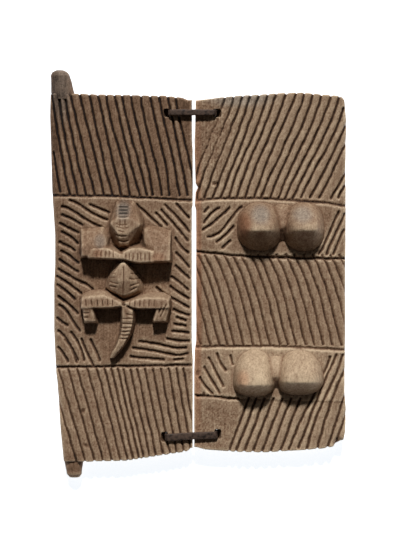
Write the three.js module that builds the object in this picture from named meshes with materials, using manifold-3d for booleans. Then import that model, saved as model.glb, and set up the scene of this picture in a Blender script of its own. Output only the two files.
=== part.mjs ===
// Carved granary door: two hardwood planks side by side, held together by two forged iron
// staples. Units are millimetres. The door lies on its back, so that +X runs across the
// planks, +Y up the door towards the long pivot post and +Z out of the carved face.
// The backs of the planks lie at z = 0, under the middle of the door.

import * as THREE from 'three';
import { ConvexGeometry } from 'three/addons/geometries/ConvexGeometry.js';
import { mergeVertices } from 'three/addons/utils/BufferGeometryUtils.js';
import Module from 'manifold-3d';

const wasm = await Module();
wasm.setup();

// Planks
const FACE = 30; // back to the tops of the ridges
const EDGE_WEAR = 1.6; // worn corner all round a plank
const ROOT = 4; // how far raised carving is rooted below the face
const MERGE_DISTANCE = 1e-4;

// Grooves: a V cut with a gouge, its sides carried on a little above the face
const GROOVE = { halfWidth: 3.1, depth: 3.4, overshoot: 1 };
const BOUNDARY = { halfWidth: 2.6, depth: 3.0, overshoot: 1 };
const BOW_STEPS = 3;

const LEFT_TOP_EDGE = [
  [-207.5, 253], [-165, 252.6], [-137, 251.6], [-67, 250.5], [-46, 249.8], [-22.5, 247],
  [-14, 243.7], [-8.2, 243.9],
];
const LEFT_INNER_EDGE = [
  [-8.2, 187], [-7.1, 173], [-7.1, 96], [-8.5, 92], [-8.5, -93], [-7.1, -121], [-7.3, -244],
];
const LEFT_BOTTOM_EDGES = [
  { from: [-17, -249.5], to: [-95, -261.5], notches: 7, depth: 2.6 },
  { from: [-97, -262], to: [-160, -263.8], notches: 6, depth: 2.6 },
];
const LEFT_OUTER_EDGE = [
  [-189, -263], [-190.5, -247], [-193.3, -219], [-196, -177], [-197.5, -156], [-199.6, -138],
  [-201, -107], [-202.4, -79], [-202.4, -16], [-201, 16], [-201, 54], [-205.2, 117],
  [-207.3, 194], [-208.2, 222],
];

const RIGHT_TOP_EDGE = [
  [-3.6, 243.2], [11, 244.6], [31, 247.4], [59, 250.2], [87, 251.6], [115, 253.6],
  [145.5, 254.2], [192, 250.2], [200, 249.8], [205.7, 243],
];
const RIGHT_OUTER_EDGE = [
  [208.2, 215], [208.2, 204], [206.9, 145], [207.6, 117], [206.7, -16], [206.8, -79],
  [205.7, -160], [207.7, -191], [206.7, -221.5], [204.3, -233.4], [200, -234.8],
  [189, -242.5],
];
const RIGHT_BOTTOM_EDGES = [
  { from: [171, -245.6], to: [100, -250.4], notches: 6, depth: 2.8 },
  { from: [98, -250.5], to: [60, -250.5], notches: 3, depth: 2.8 },
  { from: [58, -250.3], to: [10, -246.4], notches: 4, depth: 2.8 },
];
const RIGHT_INNER_EDGE = [
  [2.7, -243.2], [-5.7, -242.5], [-5.7, -137.5], [-5, -107], [-2.9, -93], [-2.9, 89],
  [-5, 96], [-3.6, 114.4], [-0.1, 121.4], [-3.6, 127], [-5.2, 173],
];

// Pivot posts: profiles as [radius, distance beyond the plank's end], from root to tip
const POST_FLATNESS = 0.86;
const POST_SIDES = 16;
const TOP_POST = {
  base: [-190.4, 253],
  lean: -4.6,
  profile: [[16.8, -8], [16.8, 0], [14.7, 19.6], [13.7, 26.6], [11.2, 30.8], [6, 33.6]],
};
const BOTTOM_POST = {
  base: [-175.2, -262],
  lean: 1,
  profile: [[13.8, -8], [13.8, 0], [12.8, 8], [11.3, 15], [11, 20], [7, 24.6]],
};

// Groove fields. Each one spreads its grooves evenly between the line `from` and the line
// `to`; bow pushes their middles to the right.
const LEFT_FIELDS = [
  // top panel
  { count: 17, from: [[-221.8, 256], [-32.5, 256]], to: [[-191.2, 110], [-2, 102]], bow: -1 },
  // beside the head, upper left
  { count: 2, from: [[-154, 99], [-185, 104]], to: [[-122, 85], [-124, 74]], bow: 0 },
  // left of the arms and thighs
  { count: 10, from: [[-197, 95], [-199, -14]], to: [[-135, 62], [-137, -60]], bow: 0 },
  // left of the lower leg
  { count: 4, from: [[-198, -26], [-199, -60]], to: [[-167, -54], [-172, -82]], bow: 0 },
  // lower left corner of the figure's panel
  { count: 6, from: [[-199, -106], [-151, -90]], to: [[-180, -127], [-136, -125]], bow: 2 },
  // beside the head, upper right
  { count: 4, from: [[-87, 100], [-39, 100]], to: [[-46, 61], [-10, 68]], bow: 0 },
  // right of the arms
  { count: 6, from: [[-33, 59], [-50, -18]], to: [[-9, 33], [-9, -46]], bow: 0 },
  // right of the lower leg
  { count: 5, from: [[-36, -48], [-46, -89]], to: [[-9, -57], [-9, -94]], bow: 1 },
  // under the right foot
  { count: 3, from: [[-85, -93], [-98, -115]], to: [[-9, -103], [-9, -120]], bow: 0 },
  // bottom panel, wide pitch and then narrow pitch
  { count: 6, from: [[-211, -129], [-145, -129]], to: [[-175, -264], [-108, -264]], bow: 1 },
  { count: 11, from: [[-132, -129], [-25, -129]], to: [[-98, -264], [4, -264]], bow: 1 },
];
const RIGHT_FIELDS = [
  // top panel
  { count: 19, from: [[36.6, 256], [259, 256]], to: [[-19, 104.5], [195, 98.5]], bow: 3.5 },
  // left of the upper bosses
  { count: 4, from: [[18, 96], [64, 96]], to: [[7, 85], [11, 51]], bow: 0 },
  { count: 2, from: [[52, 70], [48, 48]], to: [[22, 43], [31, 33]], bow: 0 },
  // right of the upper bosses
  { count: 3, from: [[195.9, 92], [213, 72]], to: [[167.9, 23], [188.9, 24]], bow: 1.5 },
  // ribbed panel between the pairs of bosses
  { count: 17, from: [[-8.5, 23], [187.5, 23]], to: [[30, -104], [226, -104]], bow: 3 },
  // left of the lower bosses
  { count: 4, from: [[29, -109], [2, -142]], to: [[44, -141], [22, -173]], bow: 0 },
  // bottom panel: middle, and the long grooves at the right
  { count: 7, from: [[68.5, -175], [141, -175]], to: [[46, -254], [118, -254]], bow: 0 },
  { count: 6, from: [[186, -112], [235, -109]], to: [[129, -254], [195, -254]], bow: 3 },
];
const LEFT_BOUNDARIES = [
  [[-212, 110], [-186, 110], [-6, 102.4]],
  [[-207, -130.5], [-110, -129], [-6, -127.6]],
];
const RIGHT_BOUNDARIES = [
  [[-3, 103.2], [143, 103.2], [210, 94.6]],
  [[9, 31], [59, 26], [210, 22]],
  [[11, -102.5], [143, -102.5], [210, -107]],
  [[7, -170.5], [34, -172.5], [60, -175.4]],
];

// Bosses: elliptical domes whose tips hang towards the bottom of the door
const BOSS_SIDES = 24;
const BOSS_RINGS = 7;
const BOSS_FULLNESS = 2;
const UPPER_BOSSES = {
  centres: [[86, 61], [147.6, 61]], halfWidth: 34, halfHeight: 37.5, rise: 40, droop: 4,
};
const LOWER_BOSSES = {
  centres: [[78.5, -139], [142, -137.5]], halfWidth: 34, halfHeight: 34, rise: 38, droop: 17,
};

// Figure: blocks in its own frame, from its waist. `foot` is the outline at the face,
// `crest` the corners of the top surface as [x, y, height above the face].
const FIGURE_ORIGIN = [-103.7, -8.75];
const FIGURE_BLOCKS = {
  head: {
    foot: [
      [-8, 109], [13, 109], [20, 99], [25, 90], [28, 78], [25, 69], [20, 56], [8, 46],
      [-8, 46], [-15, 56], [-20, 67], [-21, 73], [-20, 81], [-18, 94],
    ],
    crest: [
      [-7, 105, 9], [8, 105, 9], [-10, 78, 29], [10, 78, 29], [-8, 66, 31], [8, 66, 31],
      [-5, 50, 20], [5, 50, 20],
    ],
  },
  torso: {
    foot: [[0, 27], [-15, 14], [-24, -13], [-8, -24], [6, -27], [28, -17], [20, 4], [10, 18]],
    crest: [[-1, 21, 13], [3, 21, 13], [-6, 0, 19], [10, 0, 19], [-4, -18, 20], [7, -18, 20]],
  },
  leftUpperArm: {
    foot: [[-60, 71], [-28, 73], [-20, 62], [-20, 31], [-60, 31]],
    crest: [[-56, 67, 5], [-29, 68, 6], [-22, 46, 20], [-22, 33, 27], [-57, 33, 25]],
  },
  leftForearm: {
    foot: [[-59, 49], [0, 49], [0, 28], [-59, 30]],
    crest: [[-55, 42, 28], [-2, 44, 30], [-2, 31, 31], [-55, 32, 28]],
  },
  rightUpperArm: {
    foot: [[25, 71], [66, 71], [66, 24], [36, 24], [25, 42]],
    crest: [[46, 67, 6], [63, 68, 6], [64, 26, 29], [46, 26, 31], [28, 62, 8]],
  },
  rightForearm: {
    foot: [[-3, 48], [45, 46], [45, 23], [-3, 28]],
    crest: [[0, 44, 30], [43, 42, 31], [43, 25, 31], [0, 30, 31]],
  },
  leftThigh: {
    foot: [[-59, -27], [-48, -15], [-27, -13], [0, -27], [0, -37], [-8, -40], [-59, -41]],
    crest: [
      [-53, -27, 22], [-46, -22, 20], [-27, -19, 20], [-2, -29, 23], [-2, -35, 23],
      [-53, -39, 24],
    ],
  },
  rightThigh: {
    foot: [[0, -27], [28, -15], [57, -15], [66, -22], [66, -41], [8, -39], [0, -37]],
    crest: [
      [4, -29, 23], [28, -22, 21], [59, -20, 21], [64, -26, 23], [64, -39, 24], [4, -35, 23],
    ],
  },
  leftLowerLeg: {
    foot: [[-57, -35], [-41, -35], [-35, -62], [-56, -62]],
    crest: [[-55, -37, 21], [-42, -37, 21], [-37, -60, 20], [-55, -60, 20]],
  },
  rightLowerLeg: {
    foot: [[43, -35], [64, -35], [61, -63], [39, -63]],
    crest: [[48, -37, 22], [62, -37, 20], [59, -60, 18], [41, -60, 21]],
  },
};
// Tail stations: [x, y, half width, height above the face]
const TAIL_STATIONS = [
  [6, -34, 12, 19], [6, -63, 11, 20], [2, -77, 9.5, 18], [-4, -88, 9, 16], [-10, -98, 7.5, 14],
  [-16, -107, 4, 11],
];
const TAIL_CREST_SHARE = 0.6;

// Staples: a bar across the gap, legs down through both planks and ends clinched inwards
const STAPLE_GAP = 0.6; // air between iron and wood
const STAPLE_CORNER = 2.5;
const CLINCH_LENGTH = 17;
const HOLE_INNER_SLACK = 0.8;
const BAR_BEVEL = 0.8;
const TOP_STAPLE = {
  centre: [-7.9, 225.4], turn: 0, span: 63.8, width: 9, thickness: 5, bow: 1.6, holeReach: 9,
};
const BOTTOM_STAPLE = {
  centre: [-9.7, -226.7], turn: 0.052, span: 70.6, width: 11, thickness: 4, bow: 0.8,
  holeReach: 7,
};
const HOLE_SIDE_SLACK = 1.4;

// Makes a closed solid from a geometry, dropping the triangles that collapse at a pole.
function toSolid(geometry) {
  const bare = geometry.clone();
  bare.deleteAttribute('normal');
  bare.deleteAttribute('uv');
  const merged = mergeVertices(bare, MERGE_DISTANCE);
  const triangles = [];
  for (let i = 0; i < merged.index.count; i += 3) {
    const corners = [0, 1, 2].map((k) => merged.index.getX(i + k));
    if (new Set(corners).size === 3) {
      triangles.push(...corners);
    }
  }
  return new wasm.Manifold(new wasm.Mesh({
    numProp: 3,
    vertProperties: Float32Array.from(merged.attributes.position.array),
    triVerts: Uint32Array.from(triangles),
  }));
}

function toGeometry(solid) {
  const mesh = solid.getMesh();
  const geometry = new THREE.BufferGeometry();
  geometry.setAttribute('position', new THREE.BufferAttribute(mesh.vertProperties, 3));
  geometry.setIndex(new THREE.BufferAttribute(mesh.triVerts, 1));
  geometry.computeVertexNormals();
  return geometry;
}

function mix(a, b, share) {
  return a.map((value, i) => value + (b[i] - value) * share);
}

// Plank end that the grooves have notched: flat crests on the line, a V between each two.
function notchedEdge({ from, to, notches, depth }) {
  const inward = Math.sign(to[0] - from[0]) * -depth;
  const points = [];
  for (let i = 0; i < notches; i += 1) {
    points.push(mix(from, to, (i + 0.1) / notches));
    points.push(mix(from, to, (i + 0.55) / notches));
    const valley = mix(from, to, (i + 0.82) / notches);
    points.push([valley[0], valley[1] + inward]);
  }
  points.push(to);
  return points;
}

function plankSlab(outline) {
  const shape = new THREE.Shape(outline.map(([x, y]) => new THREE.Vector2(x, y)));
  const geometry = new THREE.ExtrudeGeometry(shape, {
    depth: FACE - 2 * EDGE_WEAR,
    bevelThickness: EDGE_WEAR,
    bevelSize: EDGE_WEAR,
    bevelOffset: -EDGE_WEAR,
    bevelSegments: 1,
  });
  geometry.translate(0, 0, EDGE_WEAR);
  return toSolid(geometry);
}

// Round post at a plank's end, a little flatter than it is wide, leaning by `lean` at its tip.
function pivotPost({ base, lean, profile }, direction) {
  const rootToTip = profile.map(([radius, reach]) => new THREE.Vector2(radius, reach));
  const last = rootToTip.at(-1);
  const closed = [
    new THREE.Vector2(0, rootToTip[0].y), ...rootToTip, new THREE.Vector2(0, last.y),
  ];
  const geometry = new THREE.LatheGeometry(closed, POST_SIDES);
  geometry.scale(1, 1, POST_FLATNESS);
  const position = geometry.attributes.position;
  for (let i = 0; i < position.count; i += 1) {
    const share = Math.max(0, position.getY(i) / last.y);
    position.setX(i, position.getX(i) + lean * share);
  }
  if (direction < 0) {
    geometry.rotateX(Math.PI);
  }
  geometry.translate(base[0], base[1], FACE / 2);
  return toSolid(geometry);
}

// V-shaped cutter along a path in the plane of the face.
function grooveCutter(path, steps, { halfWidth, depth, overshoot }) {
  const topHalfWidth = halfWidth * (1 + overshoot / depth);
  const section = new THREE.Shape([
    new THREE.Vector2(depth, 0),
    new THREE.Vector2(-overshoot, topHalfWidth),
    new THREE.Vector2(-overshoot, -topHalfWidth),
  ]);
  return toSolid(new THREE.ExtrudeGeometry(section, { steps, extrudePath: path }));
}

function onFace([x, y]) {
  return new THREE.Vector3(x, y, FACE);
}

function grooveField({ count, from, to, bow }) {
  const cutters = [];
  for (let i = 0; i < count; i += 1) {
    const share = i / (count - 1);
    const start = mix(from[0], from[1], share);
    const end = mix(to[0], to[1], share);
    const middle = mix(start, end, 0.5);
    const bend = [middle[0] + 2 * bow, middle[1]];
    const path = bow === 0
      ? new THREE.LineCurve3(onFace(start), onFace(end))
      : new THREE.QuadraticBezierCurve3(onFace(start), onFace(bend), onFace(end));
    cutters.push(grooveCutter(path, bow === 0 ? 1 : BOW_STEPS, GROOVE));
  }
  return cutters;
}

// Boundary groove through the given points, one straight cut for each stretch.
function boundaryCutters(points) {
  const cutters = [];
  for (let i = 0; i + 1 < points.length; i += 1) {
    const path = new THREE.LineCurve3(onFace(points[i]), onFace(points[i + 1]));
    cutters.push(grooveCutter(path, 1, BOUNDARY));
  }
  return cutters;
}

// Dome: height falls as 1 - r^fullness, and each level shifts down the door as it rises.
function boss([x, y], { halfWidth, halfHeight, rise, droop }) {
  const profile = [new THREE.Vector2(0, -ROOT / rise), new THREE.Vector2(1, -ROOT / rise)];
  for (let i = 0; i <= BOSS_RINGS; i += 1) {
    const radius = 1 - i / BOSS_RINGS;
    profile.push(new THREE.Vector2(radius, 1 - radius ** BOSS_FULLNESS));
  }
  const geometry = new THREE.LatheGeometry(profile, BOSS_SIDES);
  geometry.rotateX(Math.PI / 2);
  geometry.scale(halfWidth, halfHeight, rise);
  const position = geometry.attributes.position;
  for (let i = 0; i < position.count; i += 1) {
    const level = Math.max(0, position.getZ(i) / rise);
    position.setY(i, position.getY(i) - droop * level);
  }
  geometry.translate(x, y, FACE);
  return toSolid(geometry);
}

function facetedBlock(points) {
  const geometry = new ConvexGeometry(points);
  geometry.translate(FIGURE_ORIGIN[0], FIGURE_ORIGIN[1], FACE);
  return toSolid(geometry);
}

function figureBlock({ foot, crest }) {
  const footPoints = foot.map(([x, y]) => new THREE.Vector3(x, y, -ROOT));
  const crestPoints = crest.map(([x, y, height]) => new THREE.Vector3(x, y, height));
  return facetedBlock([...footPoints, ...crestPoints]);
}

// Tail: a chain of blocks, each between two neighbouring trapezoid sections.
function tailBlocks() {
  const sections = TAIL_STATIONS.map(([x, y, halfWidth, height]) => {
    const crest = halfWidth * TAIL_CREST_SHARE;
    return [
      new THREE.Vector3(x - halfWidth, y, -ROOT),
      new THREE.Vector3(x + halfWidth, y, -ROOT),
      new THREE.Vector3(x - crest, y, height),
      new THREE.Vector3(x + crest, y, height),
    ];
  });
  return sections.slice(1).map((section, i) => facetedBlock([...sections[i], ...section]));
}

// Path whose samples are exactly its corner points, so that a bar bends only there.
class CornerPath extends THREE.Curve {
  constructor(corners) {
    super();
    this.corners = corners;
  }

  getPoint(t, target = new THREE.Vector3()) {
    return target.copy(this.corners[Math.round(t * (this.corners.length - 1))]);
  }

  getPointAt(u, target) {
    return this.getPoint(u, target);
  }

  getTangentAt(u, target = new THREE.Vector3()) {
    const last = this.corners.length - 1;
    const i = Math.round(u * last);
    const before = this.corners[Math.max(0, i - 1)];
    const here = this.corners[i];
    const after = this.corners[Math.min(last, i + 1)];
    const arriving = here.clone().sub(before).normalize();
    const leaving = after.clone().sub(here).normalize();
    return target.copy(arriving.add(leaving)).normalize();
  }
}

function stapleGeometry({ span, width, thickness, bow }) {
  const half = span / 2;
  const low = STAPLE_GAP + thickness / 2;
  const high = FACE + STAPLE_GAP + thickness / 2;
  const halfPath = [
    [half - CLINCH_LENGTH, low],
    [half - STAPLE_CORNER, low],
    [half, low + STAPLE_CORNER],
    [half, high - STAPLE_CORNER],
    [half - STAPLE_CORNER, high],
  ];
  const corners = [
    ...halfPath.map(([x, z]) => new THREE.Vector3(-x, 0, z)),
    new THREE.Vector3(0, 0, high + bow),
    ...halfPath.toReversed().map(([x, z]) => new THREE.Vector3(x, 0, z)),
  ];
  const w = width / 2;
  const t = thickness / 2;
  const section = new THREE.Shape([
    new THREE.Vector2(t, -w + BAR_BEVEL),
    new THREE.Vector2(t, w - BAR_BEVEL),
    new THREE.Vector2(t - BAR_BEVEL, w),
    new THREE.Vector2(-t + BAR_BEVEL, w),
    new THREE.Vector2(-t, w - BAR_BEVEL),
    new THREE.Vector2(-t, -w + BAR_BEVEL),
    new THREE.Vector2(-t + BAR_BEVEL, -w),
    new THREE.Vector2(t - BAR_BEVEL, -w),
  ]);
  return new THREE.ExtrudeGeometry(section, {
    steps: corners.length - 1,
    extrudePath: new CornerPath(corners),
  });
}

// Hole and clinch channel in the plank on one side (-1 left, +1 right) of a staple.
function stapleCutters({ centre, turn, span, width, thickness, holeReach }, side) {
  const half = span / 2;
  const inner = half - thickness / 2 - HOLE_INNER_SLACK;
  const outer = half + holeReach;
  const across = width + 2 * HOLE_SIDE_SLACK;
  const hole = new THREE.BoxGeometry(outer - inner, across, 3 * FACE);
  hole.translate(side * (inner + outer) / 2, 0, FACE / 2);
  const channelEnd = half - CLINCH_LENGTH - HOLE_INNER_SLACK;
  const channelDepth = 2 * STAPLE_GAP + thickness;
  const channel = new THREE.BoxGeometry(outer - channelEnd, across, 2 * channelDepth);
  channel.translate(side * (channelEnd + outer) / 2, 0, 0);
  const placement = new THREE.Matrix4().makeRotationZ(turn);
  placement.setPosition(centre[0], centre[1], 0);
  return [hole, channel].map((box) => toSolid(box.applyMatrix4(placement)));
}

function carve(solid, cutters) {
  return cutters.reduce((rest, cutter) => rest.subtract(cutter), solid);
}

function join(solid, additions) {
  return additions.reduce((whole, addition) => whole.add(addition), solid);
}

function leftPlank() {
  const slab = plankSlab([
    ...LEFT_TOP_EDGE, ...LEFT_INNER_EDGE, ...LEFT_BOTTOM_EDGES.flatMap(notchedEdge),
    ...LEFT_OUTER_EDGE,
  ]);
  const blank = join(slab, [pivotPost(TOP_POST, 1), pivotPost(BOTTOM_POST, -1)]);
  const grooved = carve(blank, [
    ...LEFT_FIELDS.flatMap(grooveField),
    ...LEFT_BOUNDARIES.flatMap(boundaryCutters),
    ...stapleCutters(TOP_STAPLE, -1),
    ...stapleCutters(BOTTOM_STAPLE, -1),
  ]);
  return join(grooved, [...Object.values(FIGURE_BLOCKS).map(figureBlock), ...tailBlocks()]);
}

function rightPlank() {
  const slab = plankSlab([
    ...RIGHT_TOP_EDGE, ...RIGHT_OUTER_EDGE, ...RIGHT_BOTTOM_EDGES.flatMap(notchedEdge),
    ...RIGHT_INNER_EDGE,
  ]);
  const grooved = carve(slab, [
    ...RIGHT_FIELDS.flatMap(grooveField),
    ...RIGHT_BOUNDARIES.flatMap(boundaryCutters),
    ...stapleCutters(TOP_STAPLE, 1),
    ...stapleCutters(BOTTOM_STAPLE, 1),
  ]);
  return join(grooved, [UPPER_BOSSES, LOWER_BOSSES].flatMap(
    (pair) => pair.centres.map((centre) => boss(centre, pair)),
  ));
}

function weatheredWood(name, colour) {
  return new THREE.MeshStandardMaterial({ name, color: colour, roughness: 0.85, metalness: 0 });
}

function forgedIron(name) {
  return new THREE.MeshStandardMaterial({ name, color: 0x2b2622, roughness: 0.6, metalness: 0.8 });
}

function plank(name, solid, colour) {
  const mesh = new THREE.Mesh(toGeometry(solid), weatheredWood(`${name}_wood`, colour));
  mesh.name = name;
  return mesh;
}

function staple(name, size) {
  const mesh = new THREE.Mesh(stapleGeometry(size), forgedIron(`${name}_iron`));
  mesh.name = name;
  mesh.position.set(size.centre[0], size.centre[1], 0);
  mesh.rotation.z = size.turn;
  return mesh;
}

const door = new THREE.Group();
door.add(plank('left_plank', leftPlank(), 0x75604a));
door.add(plank('right_plank', rightPlank(), 0x8a7158));
door.add(staple('top_staple', TOP_STAPLE));
door.add(staple('bottom_staple', BOTTOM_STAPLE));

export default door;
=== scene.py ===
"""Carved granary door: two old hardwood planks held together by two forged iron staples.

The door lies on its back. Sizes in the classes are millimetres in the door's own frame: +X
across the planks, +Y up the door towards its long pivot post, +Z out of the carved face, with
the backs of the planks at z = 0. Meshes are written in metres.
"""

import logging
import math
from dataclasses import dataclass, field, replace
from enum import Enum
from itertools import product

import bmesh
import bpy
import numpy as np
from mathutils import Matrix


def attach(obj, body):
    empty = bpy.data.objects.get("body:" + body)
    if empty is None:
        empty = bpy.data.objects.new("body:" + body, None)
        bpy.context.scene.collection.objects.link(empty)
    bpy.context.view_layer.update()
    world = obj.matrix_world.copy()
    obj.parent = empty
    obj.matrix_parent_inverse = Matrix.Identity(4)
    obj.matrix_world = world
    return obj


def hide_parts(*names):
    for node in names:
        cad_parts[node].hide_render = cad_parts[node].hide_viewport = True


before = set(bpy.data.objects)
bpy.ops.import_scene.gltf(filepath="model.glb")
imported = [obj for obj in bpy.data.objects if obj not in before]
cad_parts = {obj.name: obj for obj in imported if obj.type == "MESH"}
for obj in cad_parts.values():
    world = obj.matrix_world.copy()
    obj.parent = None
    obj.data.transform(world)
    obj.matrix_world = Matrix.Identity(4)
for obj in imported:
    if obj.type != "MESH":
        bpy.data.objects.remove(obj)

LOG = logging.getLogger("carved_door")
ROOT_BODY = "root"
WOOD_SLOT = "weathered_hardwood"
IRON_SLOT = "forged_iron"

MILLIMETRE = 0.001
FACE = 30.0  # from a plank's back to the tops of its ridges
BURIED = 5.0  # how far raised carving reaches below the face
BACK_STEP = 4  # one step of the plain back for each four of the carved face

Point = tuple[float, float]
Path = tuple[Point, ...]
Faces = list[np.ndarray]


def smooth_step(low: float, high: float, value: np.ndarray) -> np.ndarray:
    """Eases from 0 at `low` to 1 at `high`, as 3t^2 - 2t^3 of the share t of the way.

    Args:
        low: Value that gives 0.
        high: Value that gives 1; it may be the smaller of the two.
        value: Numbers to ease.

    Returns:
        Shares from 0 to 1.
    """
    share = np.clip((value - low) / (high - low), 0.0, 1.0)
    return share * share * (3.0 - 2.0 * share)


def lattice_values(cells: np.ndarray, seed: int) -> np.ndarray:
    """Gives each whole lattice point a fixed random number.

    The coordinates are multiplied by large primes, joined and mixed bit by bit.

    Args:
        cells: Whole coordinates, one row of three for each point.
        seed: Chooses one of many such sets of numbers.

    Returns:
        One number from -1 to 1 for each row.
    """
    key = (cells[:, 0] * 73856093) ^ (cells[:, 1] * 19349663) ^ (cells[:, 2] * 83492791)
    key = (key + seed * 374761393) & 0xFFFFFFFF
    key = ((key ^ (key >> 13)) * 1274126177) & 0xFFFFFFFF
    key = ((key ^ (key >> 15)) * 668265263) & 0xFFFFFFFF
    return ((key >> 8) & 0xFFFF) / 32767.5 - 1.0


def lattice_noise(points: np.ndarray, size: float | Point | tuple, seed: int) -> np.ndarray:
    """Smooth random relief: lattice numbers `size` apart, eased between their eight corners.

    Args:
        points: Places in millimetres, one row of three each.
        size: Distance between lattice points, or one for each axis.
        seed: Chooses the random numbers.

    Returns:
        One number from -1 to 1 for each place.
    """
    scaled = points / np.asarray(size, float)
    cell = np.floor(scaled).astype(np.int64)
    share = scaled - cell
    ease = share * share * (3.0 - 2.0 * share)
    total = np.zeros(len(points))
    for corner in product((0, 1), repeat=3):
        weight = np.prod(np.where(corner, ease, 1.0 - ease), axis=1)
        total += weight * lattice_values(cell + corner, seed)
    return total


def layered_noise(points: np.ndarray, size: float | tuple, layers: int, seed: int) -> np.ndarray:
    """Sum of `layers` lattice noises, each half as coarse and half as strong as the last.

    Args:
        points: Places in millimetres, one row of three each.
        size: Lattice distance of the coarsest layer, or one for each axis.
        layers: How many are added up.
        seed: Chooses the random numbers.

    Returns:
        One number, about -1 to 1, for each place.
    """
    total = np.zeros(len(points))
    for layer in range(layers):
        total += 0.5**layer * lattice_noise(points, np.asarray(size) * 0.5**layer, seed + layer)
    return total / (2.0 - 0.5 ** (layers - 1))


def curve_through(path: Path, samples: int) -> np.ndarray:
    """The smooth curve through a few points: one polynomial of the share of the chord length.

    Args:
        path: Two to four points.
        samples: How many points the curve is given in.

    Returns:
        The curve's points, one row of two each.
    """
    corners = np.asarray(path, float)
    chord = np.concatenate([[0.0], np.cumsum(np.hypot(*np.diff(corners, axis=0).T))])
    share = chord / chord[-1]
    wanted = np.linspace(0.0, 1.0, samples)
    columns = [np.polyval(np.polyfit(share, line, len(corners) - 1), wanted) for line in corners.T]
    return np.stack(columns, axis=1)


def nearest_on_path(places: np.ndarray, path: np.ndarray) -> tuple[np.ndarray, ...]:
    """Distance from places to a path, how far above it they lie and how far along it.

    On the stretch from a to b the nearest point has the share t = (p - a).(b - a) / |b - a|^2,
    kept from 0 to 1.

    Args:
        places: One row of x, y for each place.
        path: The path's points, one row of x, y each.

    Returns:
        Distances, how much further up the door than the nearest point each place lies, and
        that point's length from the path's start.
    """
    best = np.full(len(places), np.inf)
    above = np.zeros(len(places))
    along = np.zeros(len(places))
    start = 0.0
    for a, b in zip(path[:-1], path[1:]):
        step = b - a
        length = float(np.hypot(*step))
        offset = places - a
        share = np.clip(offset @ step / length**2, 0.0, 1.0)
        away = offset - share[:, None] * step
        distance = np.hypot(*away.T)
        closer = distance < best
        best = np.where(closer, distance, best)
        above = np.where(closer, away[:, 1], above)
        along = np.where(closer, start + share * length, along)
        start += length
    return best, above, along


def graded_positions(length: float, count: int, pitches: Path) -> np.ndarray:
    """Positions along a length, close together where the pitch is small.

    The sum of 1 / pitch along the length is cut into `count` equal parts.

    Args:
        length: Whole length.
        count: Number of steps.
        pitches: (position, pitch) pairs, with straight lines between them.

    Returns:
        `count` + 1 positions as shares from 0 to 1.
    """
    fine = np.linspace(0.0, length, 4000)
    pitch = np.interp(fine, *np.asarray(pitches, float).T)
    crowd = np.concatenate([[0.0], np.cumsum(0.5 / pitch[1:] + 0.5 / pitch[:-1])])
    return np.interp(np.linspace(0.0, crowd[-1], count + 1), crowd, fine) / length


def add_mesh(name: str, vertices: np.ndarray, faces: Faces) -> bpy.types.Object:
    """Makes a closed mesh object whose faces point outwards.

    The volume is a sixth of the sum of a . (b x c) over the fan triangles of all the faces;
    where it comes out negative, every face is turned round.

    Args:
        name: The object's name.
        vertices: Places in millimetres, one row of three each.
        faces: Arrays of vertex numbers, each with one row for each face.

    Returns:
        The object, at the origin, with its mesh in metres.
    """
    volume = 0.0
    for block in faces:
        for k in range(1, block.shape[1] - 1):
            a, b, c = (vertices[block[:, i]] for i in (0, k, k + 1))
            volume += float(np.einsum("ij,ij->", a, np.cross(b, c)))
    turned = [block if volume > 0 else block[:, ::-1] for block in faces]
    mesh = bpy.data.meshes.new(name)
    mesh.from_pydata(vertices * MILLIMETRE, [], [row for block in turned for row in block.tolist()])
    mesh.update()
    obj = bpy.data.objects.new(name, mesh)
    bpy.context.scene.collection.objects.link(obj)
    return obj


def read_vertices(mesh: bpy.types.Mesh) -> np.ndarray:
    """A mesh's vertices in millimetres, one row of three each."""
    flat = np.empty(len(mesh.vertices) * 3)
    mesh.vertices.foreach_get("co", flat)
    return flat.reshape(-1, 3) / MILLIMETRE


def write_vertices(mesh: bpy.types.Mesh, vertices: np.ndarray) -> None:
    """Puts vertices, in millimetres, back into their mesh."""
    mesh.vertices.foreach_set("co", (vertices * MILLIMETRE).ravel())
    mesh.update()


def read_normals(mesh: bpy.types.Mesh) -> np.ndarray:
    """A mesh's vertex normals, one row of three each."""
    flat = np.empty(len(mesh.vertices) * 3)
    mesh.vertex_normals.foreach_get("vector", flat)
    return flat.reshape(-1, 3)


def read_edges(mesh: bpy.types.Mesh) -> np.ndarray:
    """The two vertex numbers of each of a mesh's edges."""
    flat = np.empty(len(mesh.edges) * 2, np.int64)
    mesh.edges.foreach_get("vertices", flat)
    return flat.reshape(-1, 2)


def relaxed(vertices: np.ndarray, edges: np.ndarray, rounds: int) -> np.ndarray:
    """Smooths places: in each round a vertex goes halfway to the mean of its neighbours.

    Args:
        vertices: One row for each vertex; it may hold places or any other values.
        edges: Two vertex numbers for each edge.
        rounds: How many times it is done.

    Returns:
        The smoothed rows.
    """
    count = len(vertices)
    a, b = edges.T
    neighbours = np.maximum(np.bincount(a, minlength=count) + np.bincount(b, minlength=count), 1)
    for _ in range(rounds):
        columns = [
            np.bincount(a, line[b], count) + np.bincount(b, line[a], count) for line in vertices.T
        ]
        vertices = 0.5 * vertices + 0.5 * np.stack(columns, axis=1) / neighbours[:, None]
    return vertices


def finish_modifiers(obj: bpy.types.Object) -> None:
    """Turns an object with modifiers into a plain mesh of what they give."""
    graph = bpy.context.evaluated_depsgraph_get()
    result = bpy.data.meshes.new_from_object(obj.evaluated_get(graph))
    obj.modifiers.clear()
    old = obj.data
    obj.data = result
    bpy.data.meshes.remove(old)


class Boolean(Enum):
    """How a closed mesh is put together with another."""

    JOIN = "UNION"
    CUT = "DIFFERENCE"


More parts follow.
